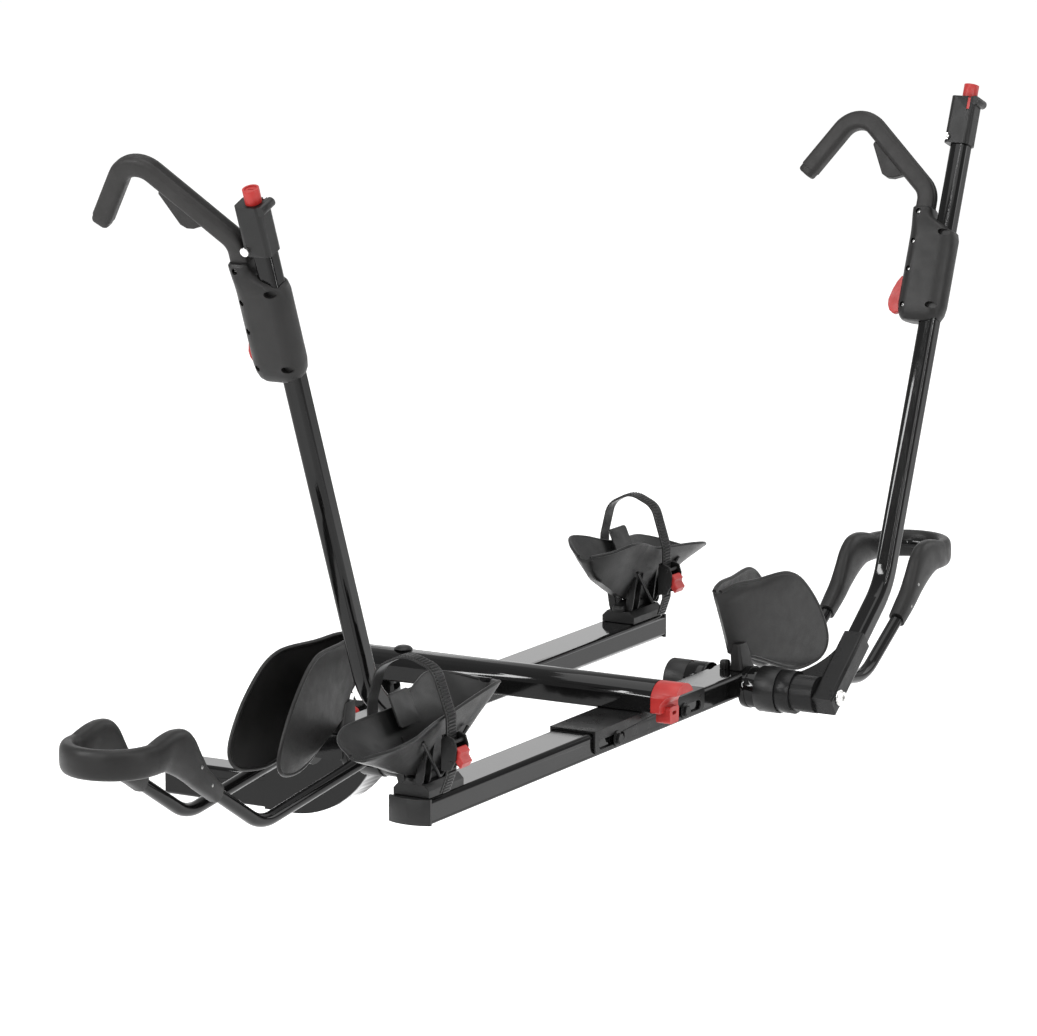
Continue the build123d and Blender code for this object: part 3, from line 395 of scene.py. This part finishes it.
def rounded_section(width, height, radius, steps=6):
    """Points round a rectangle with rounded corners, centred on 0."""
    section = []
    for corner in range(4):
        cx = (width / 2 - radius) * (1, -1, -1, 1)[corner]
        cy = (height / 2 - radius) * (1, 1, -1, -1)[corner]
        for step in range(steps + 1):
            angle = math.radians(90 * (corner + step / steps))
            section.append((cx + radius * math.cos(angle), cy + radius * math.sin(angle)))
    return section


def oval_section(width, height, power=2.5, count=28):
    """Points round a superellipse, from a circle at power 2 to a box at high power."""
    section = []
    for step in range(count):
        angle = 2 * math.pi * (step + 0.5) / count
        c, s = math.cos(angle), math.sin(angle)
        section.append((width / 2 * math.copysign(abs(c) ** (2 / power), c),
                        height / 2 * math.copysign(abs(s) ** (2 / power), s)))
    return section


def smooth_between(keys, steps):
    """Catmull-Rom through rows of numbers, with steps pieces between each pair."""
    rows = []
    last = len(keys) - 1
    for i in range(last):
        before, a, b, after = keys[max(i - 1, 0)], keys[i], keys[i + 1], keys[min(i + 2, last)]
        for step in range(steps):
            t = step / steps
            rows.append([0.5 * (2 * p1 + (p2 - p0) * t + (2 * p0 - 5 * p1 + 4 * p2 - p3) * t ** 2
                                + (3 * p1 - p0 - 3 * p2 + p3) * t ** 3)
                         for p0, p1, p2, p3 in zip(before, a, b, after)])
    rows.append(list(keys[last]))
    return rows


def round_corners(points, radii, steps=8):
    """Straight runs joined by arcs: a list of 2-D or 3-D points."""
    route = [Vector(points[0])]
    for i in range(1, len(points) - 1):
        here = Vector(points[i])
        back = (Vector(points[i - 1]) - here).normalized()
        ahead = (Vector(points[i + 1]) - here).normalized()
        half = back.angle(ahead) / 2
        reach = radii[i - 1] / math.tan(half)
        centre = here + (back + ahead).normalized() * (radii[i - 1] / math.sin(half))
        start, end = here + back * reach - centre, here + ahead * reach - centre
        turn = start.angle(end)
        for step in range(steps + 1):
            t = step / steps
            arm = start * math.sin((1 - t) * turn) + end * math.sin(t * turn)
            route.append(centre + arm / math.sin(turn))
    route.append(Vector(points[-1]))
    return route


def tube(route, radius, count=12):
    """Points and faces of a round bar along a 3-D route in metres."""
    rings = []
    side = None
    for i, point in enumerate(route):
        along = (route[min(i + 1, len(route) - 1)] - route[max(i - 1, 0)]).normalized()
        if side is None:
            side = along.orthogonal().normalized()
        side = (side - along * side.dot(along)).normalized()
        other = along.cross(side)
        rings.append([point + (side * math.cos(a) + other * math.sin(a)) * radius
                      for a in (2 * math.pi * j / count for j in range(count))])
    return loft(rings)


def turned(profile, centre, axis, count=40):
    """Points and faces of a turned piece: profile rows are (distance along the axis, radius) in metres."""
    axis = axis.normalized()
    side = axis.orthogonal().normalized()
    other = axis.cross(side)
    rings = [[centre + axis * along + (side * math.cos(a) + other * math.sin(a)) * max(radius, 1e-5)
              for a in (2 * math.pi * j / count for j in range(count))] for along, radius in profile]
    return loft(rings)


def slab(outline, depth, place):
    """A plate: 2-D outline between two depths, put in space by place(x, y, depth)."""
    rings = [[place(x, y, d) for x, y in outline] for d in depth]
    return loft(rings)


def soften_cad(width=0.0008, angle=30):
    """Every shown CAD node gets welded seams and small rounded edges."""
    for piece in frame["nodes"].values():
        weld = piece.modifiers.new("weld", "WELD")
        weld.merge_threshold = 1e-6
        edge_bevel(piece, width, angle)


# ---------------------------------------------------------------- wheel hoop cover
# one row for each station of a leg: top x and z, foot x and z, half thickness
COVER_KEYS = [
    (705, 197, 719, 175, 11.5), (722, 211, 735, 185, 12.5), (741, 229, 757, 198, 12.5),
    (755, 251, 780, 213, 12), (769, 273, 801, 225, 12), (786, 286, 820, 234, 12), (806, 290, 835, 239, 12),
    (826, 289, 847, 240, 12.5), (846, 285, 858, 240, 12), (862, 281, 862, 240, 11)]
COVER_LEGS = (-68.0, 49.0)
COVER_RIM_HALF = 11
COVER_RIM_STEPS = 24


def cover_ring(top_point, foot_point, half, outward):
    """One section of the cover: tall oval between its top and foot points."""
    centre = (top_point + foot_point) / 2
    upward = (top_point - foot_point) / 2
    return [centre + outward * (half * x) + upward * y for x, y in oval_section(2, 2, 2.9, 32)]


def cover_leg(leg_y, side):
    """The sections of one leg of the cover, from its end to the rim."""
    return [cover_ring(Vector((xt, leg_y, zt)), Vector((xb, leg_y, zb)), half, Vector((0, side, 0)))
            for xt, zt, xb, zb, half in smooth_between(COVER_KEYS, 4)]


def hoop_cover(tray):
    """Moulded cover: a rim band round the hoop's end that rises into a hump on each leg."""
    middle = sum(COVER_LEGS) / 2
    radius = (COVER_LEGS[1] - COVER_LEGS[0]) / 2
    top, foot = Vector((0, 0, COVER_KEYS[-1][1])), Vector((0, 0, COVER_KEYS[-1][3]))
    rings = cover_leg(COVER_LEGS[0], -1)
    for step in range(1, COVER_RIM_STEPS):
        angle = math.pi * step / COVER_RIM_STEPS
        outward = Vector((math.sin(angle), -math.cos(angle), 0))
        place = Vector((COVER_KEYS[-1][0], middle, 0)) + outward * radius
        rings.append(cover_ring(place + top, place + foot, COVER_RIM_HALF, outward))
    rings += reversed(cover_leg(COVER_LEGS[1], 1))
    points, faces = loft([[tray.world(point * MM) for point in ring] for ring in rings])
    build("hoop_cover_shell_" + tray.name, points, faces, SOFT_PLASTIC, "hoop_" + tray.name,
          ["hoop_cover_" + tray.name], "black_plastic", 50)


# ---------------------------------------------------------------- wheel scoop
SCOOP_VALLEY = Vector((245, -7, 302))
SCOOP_SLOPE = math.radians(63.6)
SCOOP_FLARE = 0.165
SCOOP_DEPTH = 104
SCOOP_EDGE = [(0, -2), (40, 10), (84, 34), (134, 58), (158, 75), (177, 101), (194, 145), (202, 185),
              (202, 219), (189, 237), (161, 237), (112, 214), (55, 156), (6, 107)]
SCOOP_THICK = 3.6
SCOOP_SHARES = (0, 0.03, 0.07, 0.13, 0.22, 0.34, 0.48, 0.62, 0.76, 0.88, 1.0)


def scoop_point(w, v, side, out=0.0):
    """A point of a leaf: w from the valley toward the wheel, v down the valley, side -1 or 1."""
    along = Vector((math.cos(SCOOP_SLOPE), 0, -math.sin(SCOOP_SLOPE)))
    across = Vector((math.sin(SCOOP_SLOPE), 0, math.cos(SCOOP_SLOPE)))
    spread_y = w * SCOOP_FLARE + 4.5 * (1 - math.exp(-w / 9)) + out
    return SCOOP_VALLEY + along * v + across * w + Vector((0, side * spread_y, 0))


def scoop_line(tray, edge, side, share, thick):
    """Points down one leaf at a share of its width, on its wheel face (thick 0) or its back face."""
    line = []
    for i, (w, v) in enumerate(edge):
        root = SCOOP_DEPTH * i / (len(edge) - 1)
        bowl = 5.0 * math.sin(math.pi * share) * min(1, w / 80)
        root_step = 2.5 * (1 - share) * thick / SCOOP_THICK
        point = scoop_point(w * share - root_step, root + (v - root) * share, side, bowl + thick)
        line.append(tray.world(point * MM))
    return line


def scoop_skin(inner, outer):
    """Closed skin between the lines of the wheel face and those of the back face."""
    rows = inner + list(reversed(outer))
    count = len(inner[0])
    points = [point for row in rows for point in row]
    faces = []
    for i in range(len(rows)):
        k = (i + 1) % len(rows)
        for j in range(count - 1):
            faces.append((i * count + j, i * count + j + 1, k * count + j + 1, k * count + j))
    for j in (0, count - 1):
        for a in range(len(inner) - 1):
            c, d = len(rows) - 2 - a, len(rows) - 1 - a
            faces.append((a * count + j, (a + 1) * count + j, c * count + j, d * count + j))
    return points, faces


def scoop_foot(tray):
    """Tapered foot that leans from the tray to the leaves."""
    foot = rounded_section(42, 22, 6, 4)
    rings = []
    for z, scale in ((182, 1.0), (184, 1.0), (192, 0.86), (206, 0.8), (222, 0.62)):
        lean = -0.28 * (z - 182)
        rings.append([tray.world(Vector((312 + lean + x * scale, -16 + y * scale, z)) * MM) for x, y in foot])
    build("scoop_foot_" + tray.name, *loft(rings), SOFT_PLASTIC, "rack", (), "black_plastic", 40, 0.001)


def wheel_scoop(tray):
    """Two thin concave leaves in one moulding, with a bead along the free edge."""
    edge = smooth_between(SCOOP_EDGE, 4)
    places = [(-1, share) for share in reversed(SCOOP_SHARES)] + [(1, share) for share in SCOOP_SHARES[1:]]
    inner = [scoop_line(tray, edge, side, share, 0) for side, share in places]
    outer = [scoop_line(tray, edge, side, share, SCOOP_THICK) for side, share in places]
    beads = []
    for side in (-1, 1):
        route = [tray.world(scoop_point(w - 1, v, side, SCOOP_THICK / 2) * MM) for w, v in edge[1:]]
        beads.append(tube(route, 3.1 * MM, 10))
    build("scoop_shell_" + tray.name, *join(scoop_skin(inner, outer), *beads), SOFT_PLASTIC, "rack",
          ["wheel_scoop_" + tray.name], "black_plastic", 50)
    scoop_foot(tray)


# ---------------------------------------------------------------- rear wheel cradle
# x from the tray's centre (rearward), valley z, near rim y and z, far rim y and z
CRADLE_KEYS = [
    (397, 297, 9, 302, 9, 302), (420, 266, 31, 307, 34, 311), (452, 245, 49, 315, 52, 317),
    (490, 224, 47, 309, 48, 311), (525, 211, 40, 299, 42, 301), (556, 206, 36, 291, 38, 294),
    (590, 210, 38, 288, 41, 291), (630, 221, 46, 286, 48, 288), (668, 237, 51, 282, 53, 283),
    (700, 249, 38, 273, 40, 274), (721, 258, 10, 263, 10, 263)]
LEAF = 3.6


def cradle_row(tray, row, lift=0.0):
    """One V section: from the near rim down to the valley and up to the far rim."""
    x, valley, near_y, near_z, far_y, far_z = row
    line = []
    for side, rim_y, rim_z in ((-1, near_y, near_z), (1, far_y, far_z)):
        shares = (1, 0.88, 0.74, 0.58, 0.42, 0.27, 0.14, 0.05)
        points = []
        for share in shares:
            bulge = 3.2 * math.sin(math.pi * share)
            y = 2.0 + (rim_y - 2.0) * share ** 1.12
            z = valley + (rim_z - valley) * share ** 0.94 - bulge * 0.4
            points.append(Vector((-x, side * (y + bulge * 0.6 + lift), z - lift * 0.75)))
        line += points if side < 0 else list(reversed(points))
    return [tray.world(point * MM) for point in line]


def cradle_shell(tray):
    """Boat of two twisted leaves with beaded rims."""
    rows = smooth_between(CRADLE_KEYS, 4)
    inner = [cradle_row(tray, row) for row in rows]
    outer = [cradle_row(tray, row, LEAF) for row in rows]
    shell = loft([above + list(reversed(below)) for above, below in zip(inner, outer)])
    beads = []
    for index in (0, len(inner[0]) - 1):
        rim = [(above[index] + below[index]) / 2 for above, below in zip(inner, outer)]
        beads.append(tube(rim, 2.5 * MM, 10))
    build("cradle_shell_" + tray.name, *join(shell, *beads), PLASTIC, "cradle_" + tray.name,
          ["wheel_cradle_" + tray.name], "black_plastic", 50)


def cradle_ribs(tray):
    """Ribs under both leaves, on a stepped base."""
    ribs = []
    for x, reach, top in ((508, 27, 258), (527, 28, 262), (572, 27, 262), (590, 27, 258)):
        high = top - 6
        outline = [(7, 200), (18, 200), (20, 206), (reach, high), (reach - 5, high), (14, 236), (9, 212)]
        for side in (-1, 1):
            ribs.append(slab([(side * y, z) for y, z in outline], (0, 3),
                             lambda y, z, d, x=x: tray.world(Vector((-x - d, y, z)) * MM)))
    body = rounded_section(100, 20, 6, 4)
    rings = []
    for z, scale in ((200, 1.0), (204, 1.0), (208, 0.94), (213, 0.6)):
        rings.append([tray.world(Vector((-546 + x * scale, y * scale, z)) * MM) for x, y in body])
    build("cradle_ribs_" + tray.name, *join(loft(rings), *ribs), PLASTIC, "cradle_" + tray.name, (),
          "black_plastic", 35, 0.0006)


def cradle_brace(tray):
    """Bent brace under the near leaf."""
    corners = [Vector((-622, -37, 266)), Vector((-560, -26, 205)), Vector((-500, -33, 262))]
    route = round_corners(corners, [6], 5)
    bar = tube([tray.world(point * MM) for point in route], 2.4 * MM, 8)
    build("cradle_brace_" + tray.name, *bar, PLASTIC, "cradle_" + tray.name, (), "black_plastic", 50)


def wheel_cradle(tray):
    """The cradle's boat and what holds it up."""
    cradle_shell(tray)
    cradle_ribs(tray)
    cradle_brace(tray)


# ---------------------------------------------------------------- ladder strap and buckle
STRAP_MIDDLE = -566.0
STRAP_SKEW = 0.1
STRAP_CORNERS = [(-38, 189), (-47, 214), (-47, 290), (-26, 352), (14, 368), (54, 348), (66, 300), (66, 258)]
STRAP_RADII = [12, 30, 28, 34, 30, 30]


def strap_frames():
    """The strap's middle line, resampled evenly: (y, z) and the unit normal that points out of the arch."""
    route = round_corners([Vector((0, y, z)) for y, z in STRAP_CORNERS], STRAP_RADII, 10)
    lengths = [0]
    for a, b in zip(route, route[1:]):
        lengths.append(lengths[-1] + (b - a).length)
    frames = []
    spacing = 1.15
    steps = int(lengths[-1] / spacing)
    index = 0
    for step in range(steps + 1):
        target = lengths[-1] * step / steps
        while index < len(route) - 2 and lengths[index + 1] < target:
            index += 1
        share = (target - lengths[index]) / max(lengths[index + 1] - lengths[index], 1e-9)
        along = (route[index + 1] - route[index]).normalized()
        frames.append((route[index].lerp(route[index + 1], share), Vector((0, -along.z, along.y)), target))
    return frames


def ladder_strap(tray):
    """Flat strap with ratchet teeth across its outer face and plain edges."""
    frames = strap_frames()
    pitch = 4.6
    half_width = 12.3
    rings = []
    for point, normal, distance in frames:
        tooth = 1.3 if (distance % pitch) < pitch * 0.5 and distance < 330 else 0.0
        section = [(-half_width, -1.4), (half_width, -1.4), (half_width, 0.7), (half_width - 3.2, 0.9),
                   (half_width - 3.6, 0.5 + 1.4 * tooth), (-half_width + 3.6, 0.5 + 1.4 * tooth),
                   (-half_width + 3.2, 0.9), (-half_width, 0.7)]
        skew = STRAP_MIDDLE - STRAP_SKEW * (point.y + 47)
        rings.append([tray.world((Vector((skew + x, 0, 0)) + point + normal * height) * MM)
                      for x, height in section])
    build("strap_ladder_" + tray.name, *loft(rings), STRAP_PLASTIC, "cradle_" + tray.name,
          ["ladder_strap_" + tray.name], "black_plastic", 30)
    pad = rounded_section(50, 44, 4, 3)
    rings = []
    for depth, scale in ((0, 0.97), (0.8, 1), (2.6, 1), (3.4, 0.97)):
        rings.append([tray.world(Vector((STRAP_MIDDLE + 4 + x * scale, 29 + 0.42 * y * scale - depth,
                                         292 + y * scale)) * MM) for x, y in pad])
    build("strap_shoe_" + tray.name, *loft(rings), PLASTIC, "cradle_" + tray.name, (), "black_plastic", 35)


# ---------------------------------------------------------------- cut openings at build time
def carve(solid, *cutters):
    """The solid less each cutter, all given and returned as (points, faces)."""
    made = []
    for index, (points, faces) in enumerate((solid,) + cutters):
        mesh = bpy.data.meshes.new("carve_" + str(index))
        mesh.from_pydata([tuple(point) for point in points], [], faces)
        work = bmesh.new()
        work.from_mesh(mesh)
        bmesh.ops.recalc_face_normals(work, faces=work.faces)
        work.to_mesh(mesh)
        work.free()
        piece = bpy.data.objects.new("carve_" + str(index), mesh)
        bpy.context.scene.collection.objects.link(piece)
        made.append(piece)
    for cutter in made[1:]:
        modifier = made[0].modifiers.new("cut", "BOOLEAN")
        modifier.operation = "DIFFERENCE"
        modifier.solver = "EXACT"
        modifier.object = cutter
    result = made[0].evaluated_get(bpy.context.evaluated_depsgraph_get()).to_mesh()
    points = [vertex.co.copy() for vertex in result.vertices]
    faces = [tuple(face.vertices) for face in result.polygons]
    for piece in made:
        bpy.data.objects.remove(piece)
    return points, faces


# ---------------------------------------------------------------- hook housing
# u up the mast, q range, half thickness, corner radius
HOUSING_ROWS = [
    (0, 2, 36, 12, 10), (1.5, -8, 43, 16, 14), (6, -15, 48, 19, 17), (14, -19, 51, 21, 19),
    (26, -21, 52.5, 22, 20),
    (60, -21, 52.5, 22, 20), (100, -21, 52.5, 22, 20), (128, -21, 52.5, 22, 20), (137, -18, 52.5, 22, 19),
    (144, -9, 52.5, 21.5, 17), (150, 4, 52.5, 20.5, 14), (157, 17, 53, 19.5, 12), (164, 22, 53.5, 19, 11),
    (169, 23, 53.5, 18.5, 10), (172, 25.5, 51, 16, 8)]
SCREW_PLACES = ((41, 163), (41, 118), (41, 76), (40, 22))
OVAL_PLACES = ((-6, 134), (-6, 24))
MAST_PASSAGE = 28.5
SCREW_SEAT = 13.0
OVAL_SEAT = 15.2
PAST_HOUSING = 30
TRIGGER_MIDDLE = {"outer": (-5, 6), "inner": (-12, 6)}
TRIGGER_OUTLINE = [(36, 62), (42, 69), (53, 66), (59, 57), (64, 45), (68, 30), (67.5, 22), (64, 14), (57, 9),
                   (36, 16)]


def hook_slab(tray, outline, depths):
    """A plate in the hook's frame: outline in (q, u) between two p depths."""
    return slab(outline, depths, lambda q, u, p: tray.world(tray.hook(p, q, u)))


def screw_turned(tray, profile):
    """The same turned piece at each screw, from the seat outward on the housing's screw face."""
    face = -tray.sign
    pieces = []
    for q, u in SCREW_PLACES:
        centre = tray.world(tray.hook(face * SCREW_SEAT, q, u))
        axis = tray.world(tray.hook(face * PAST_HOUSING, q, u)) - centre
        pieces.append(turned([(along * MM, radius * MM) for along, radius in profile], centre, axis, 20))
    return pieces


def housing_cutters(tray):
    """Room for the mast, the trigger, the screws and the two oval pockets."""
    face = -tray.sign
    middle, half = TRIGGER_MIDDLE[tray.name]
    section = rounded_section(MAST_PASSAGE, MAST_PASSAGE, 7, 4)
    cutters = [loft([[tray.world(tray.hook(x, y, u)) for x, y in section] for u in (-20, 200)])]
    pocket = [(28, 5), (90, 5), (90, 73), (28, 73)]
    cutters.append(hook_slab(tray, pocket, (middle - half - 0.6, middle + half + 0.6)))
    cutters += screw_turned(tray, [(0, 4.2), (PAST_HOUSING, 4.2)])
    for q, u in OVAL_PLACES:
        outline = [(q + x, u + y) for x, y in oval_section(17, 9.5, 2.2, 24)]
        cutters.append(hook_slab(tray, outline, (face * OVAL_SEAT, face * PAST_HOUSING)))
    return cutters


def hook_housing(tray):
    """Two moulded halves as one rounded body, cut for the mast, the trigger and the fasteners."""
    rings = []
    for u, low, high, half, radius in HOUSING_ROWS:
        section = rounded_section(high - low, 2 * half, radius, 7)
        rings.append([tray.world(tray.hook(y, x + (low + high) / 2, u)) for x, y in section])
    points, faces = carve(loft(rings), *housing_cutters(tray))
    build("hook_housing_shell_" + tray.name, points, faces, SOFT_PLASTIC, "hook_" + tray.name,
          ["hook_housing_front_" + tray.name, "hook_housing_back_" + tray.name], "black_plastic", 32)
    heads = screw_turned(tray, [(0.1, 3.4), (1.6, 3.4), (2.4, 2.4), (2.5, 1.2), (1.2, 1.1), (1.2, 0.1)])
    build("hook_screw_heads_" + tray.name, *join(*heads), DARK_STEEL, "hook_" + tray.name,
          ["hook_screws_" + tray.name], "bright_steel", 40)


def hook_trigger(tray):
    """Curved red squeeze lever in the housing's low pocket."""
    middle, half = TRIGGER_MIDDLE[tray.name]
    plate = hook_slab(tray, TRIGGER_OUTLINE, (middle - half + 0.4, middle + half - 0.4))
    build("trigger_lever_" + tray.name, *plate, RED, "trigger_" + tray.name, ["hook_trigger_" + tray.name],
          "red_plastic", 30, 0.0018)


# ---------------------------------------------------------------- hook grip
ARM_ROUTE = [(38.5, 127), (38.5, 197), (173, 316), (243, 210)]
ARM_RADII = [32, 36]
PAD_OUTLINE = [(66, 222), (76, 220), (86, 217), (98, 213), (108, 213), (117, 218), (140, 262), (132, 275),
               (100, 252)]
ARM_RIBS = 7


def grip_section():
    """Outline of the arm's rubber: (across, outward), with lengthwise ribs on the outward face."""
    section = rounded_section(23.6, 27.6, 7.5, 5)
    top = []
    for step in range(4 * ARM_RIBS + 1):
        across = 4.2 - 8.4 * step / (4 * ARM_RIBS)
        top.append((across, 13.8 + 0.35 * math.sin(math.pi * step / 2)))
    corner = 6
    return section[:corner] + top + section[corner:]


def hook_grip(tray):
    """Rubber covered arm: up from the housing, over the wheel and down to a stepped tip."""
    route = round_corners([Vector((q, u, 0)) for q, u in ARM_ROUTE], ARM_RADII, 14)
    section = grip_section()
    rows = [(point, 1.0, i) for i, point in enumerate(route[:-1])]
    end, before = route[-1], route[-2]
    along = (end - before).normalized()
    for back, scale in ((12, 1.0), (11, 1.0), (10.4, 0.93), (3.5, 0.91), (1.2, 0.84), (0, 0.68)):
        rows.append((end - along * back, scale, len(route) - 1))
    rings = []
    for point, scale, i in rows:
        ahead = (route[min(i + 1, len(route) - 1)] - route[max(i - 1, 0)]).normalized()
        outward = Vector((-ahead.y, ahead.x, 0))
        ring = []
        for across, out in section:
            place = point + outward * (out * scale)
            ring.append(tray.world(tray.hook(across * scale, place.x, place.y)))
        rings.append(ring)
    build("hook_arm_rubber_" + tray.name, *loft(rings), RUBBER, "hook_" + tray.name,
          ["hook_arm_" + tray.name], "black_rubber", 50)
    pad = hook_slab(tray, PAD_OUTLINE, (-6.5, 6.5))
    build("hook_pad_" + tray.name, *pad, RUBBER, "hook_" + tray.name, (), "black_rubber", 35, 0.0022)


# ---------------------------------------------------------------- buckle
def side_slab(tray, outline, depths):
    """A plate across the tray: outline in (y, z) between two x depths."""
    return slab(outline, depths, lambda y, z, x: tray.world(Vector((x, y, z)) * MM))


def buckle(tray):
    """Side plates, back plate and two rollers, with the red release tab in front."""
    low, high = STRAP_MIDDLE - 16.6, STRAP_MIDDLE + 16.6
    side = [(-41, 220), (-56, 222), (-63, 236), (-64, 252), (-60, 264), (-50, 268), (-41, 262)]
    plates = [side_slab(tray, side, (x, x + 3.2)) for x in (low, high - 3.2)]
    back = [(-42, 220), (-44.6, 220), (-44.6, 268), (-42, 268)]
    plates.append(side_slab(tray, back, (low + 0.2, high - 0.2)))
    for y, z in ((-56, 258), (-56, 232)):
        plates.append(turned([(-17.4 * MM, 2.6 * MM), (17.4 * MM, 2.6 * MM)],
                             tray.world(Vector((STRAP_MIDDLE, y, z)) * MM), Vector((1, 0, 0)), 18))
    build("buckle_frame_" + tray.name, *join(*plates), PLASTIC, "cradle_" + tray.name,
          ["buckle_body_" + tray.name], "black_plastic", 35, 0.0007)
    tab = [(-57, 250), (-62, 252), (-68.5, 246), (-66.5, 240), (-72, 232), (-67, 224), (-62, 230), (-58, 238)]
    plate = side_slab(tray, tab, (STRAP_MIDDLE - 12.6, STRAP_MIDDLE + 12.6))
    build("buckle_tab_" + tray.name, *plate, RED, "latch_" + tray.name, ["buckle_latch_" + tray.name],
          "red_plastic", 30, 0.0012)


# ---------------------------------------------------------------- hoop lock knob
KNOB_RIBS = 12
# share of the height, share of the radius, depth of the flutes
KNOB_ROWS = ((0, 0.9, 0), (0.05, 0.97, 0.05), (0.7, 0.97, 0.05), (0.86, 0.9, 0.03), (0.96, 0.7, 0),
             (1, 0.4, 0))


def lock_knob(tray):
    """Fluted knob with a domed top on the tray."""
    low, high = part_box("hoop_lock_knob_" + tray.name)
    centre = Vector(((low[0] + high[0]) / 2, (low[1] + high[1]) / 2, low[2]))
    radius, height = (high[0] - low[0]) / 2, high[2] - low[2]
    rings = []
    for share, scale, flute in KNOB_ROWS:
        ring = []
        for step in range(8 * KNOB_RIBS):
            angle = 2 * math.pi * step / (8 * KNOB_RIBS)
            reach = radius * (scale - flute * (1 - math.cos(KNOB_RIBS * angle)))
            ring.append(centre + Vector((reach * math.cos(angle), reach * math.sin(angle), share * height)))
        rings.append(ring)
    build("lock_knob_fluted_" + tray.name, *loft(rings), PLASTIC, "knob_" + tray.name,
          ["hoop_lock_knob_" + tray.name], "black_plastic", 45)


# ---------------------------------------------------------------- hoop rivets
def hoop_rivets(tray):
    """Bright rivets through the cover's legs."""
    heads = []
    for y, side in ((COVER_LEGS[0] - 12.2, -1), (COVER_LEGS[1] + 12.2, 1)):
        for x, z in ((738, 203), (762, 232)):
            heads.append(turned([(-0.6 * MM, 2.6 * MM), (0.3 * MM, 2.4 * MM), (0.8 * MM, 1.2 * MM)],
                                tray.world(Vector((x, y, z)) * MM), Vector((0, side, 0)), 16))
    build("hoop_rivets_" + tray.name, *join(*heads), DARK_STEEL, "hoop_" + tray.name, (), "bright_steel", 50)


# ---------------------------------------------------------------- tip cap details
def tip_insert(tray):
    """Red key of the lock that shows in the cap's relief notch."""
    outline = [(-9.2, 716), (-4.8, 716), (-4.8, 733), (-9.2, 733)]
    plate = slab(outline, (-13.9, -14.9), lambda q, u, p: tray.world(tray.mast(p, q, u)))
    build("tip_insert_" + tray.name, *plate, RED, "mast_" + tray.name, (), "red_plastic", 30)


SUB_PARTS = (hoop_cover, wheel_scoop, wheel_cradle, ladder_strap, hook_housing, hook_trigger, hook_grip,
             buckle, tip_insert, lock_knob, hoop_rivets)

for tray in TRAY.values():
    for sub_part in SUB_PARTS:
        sub_part(tray)

soften_cad()
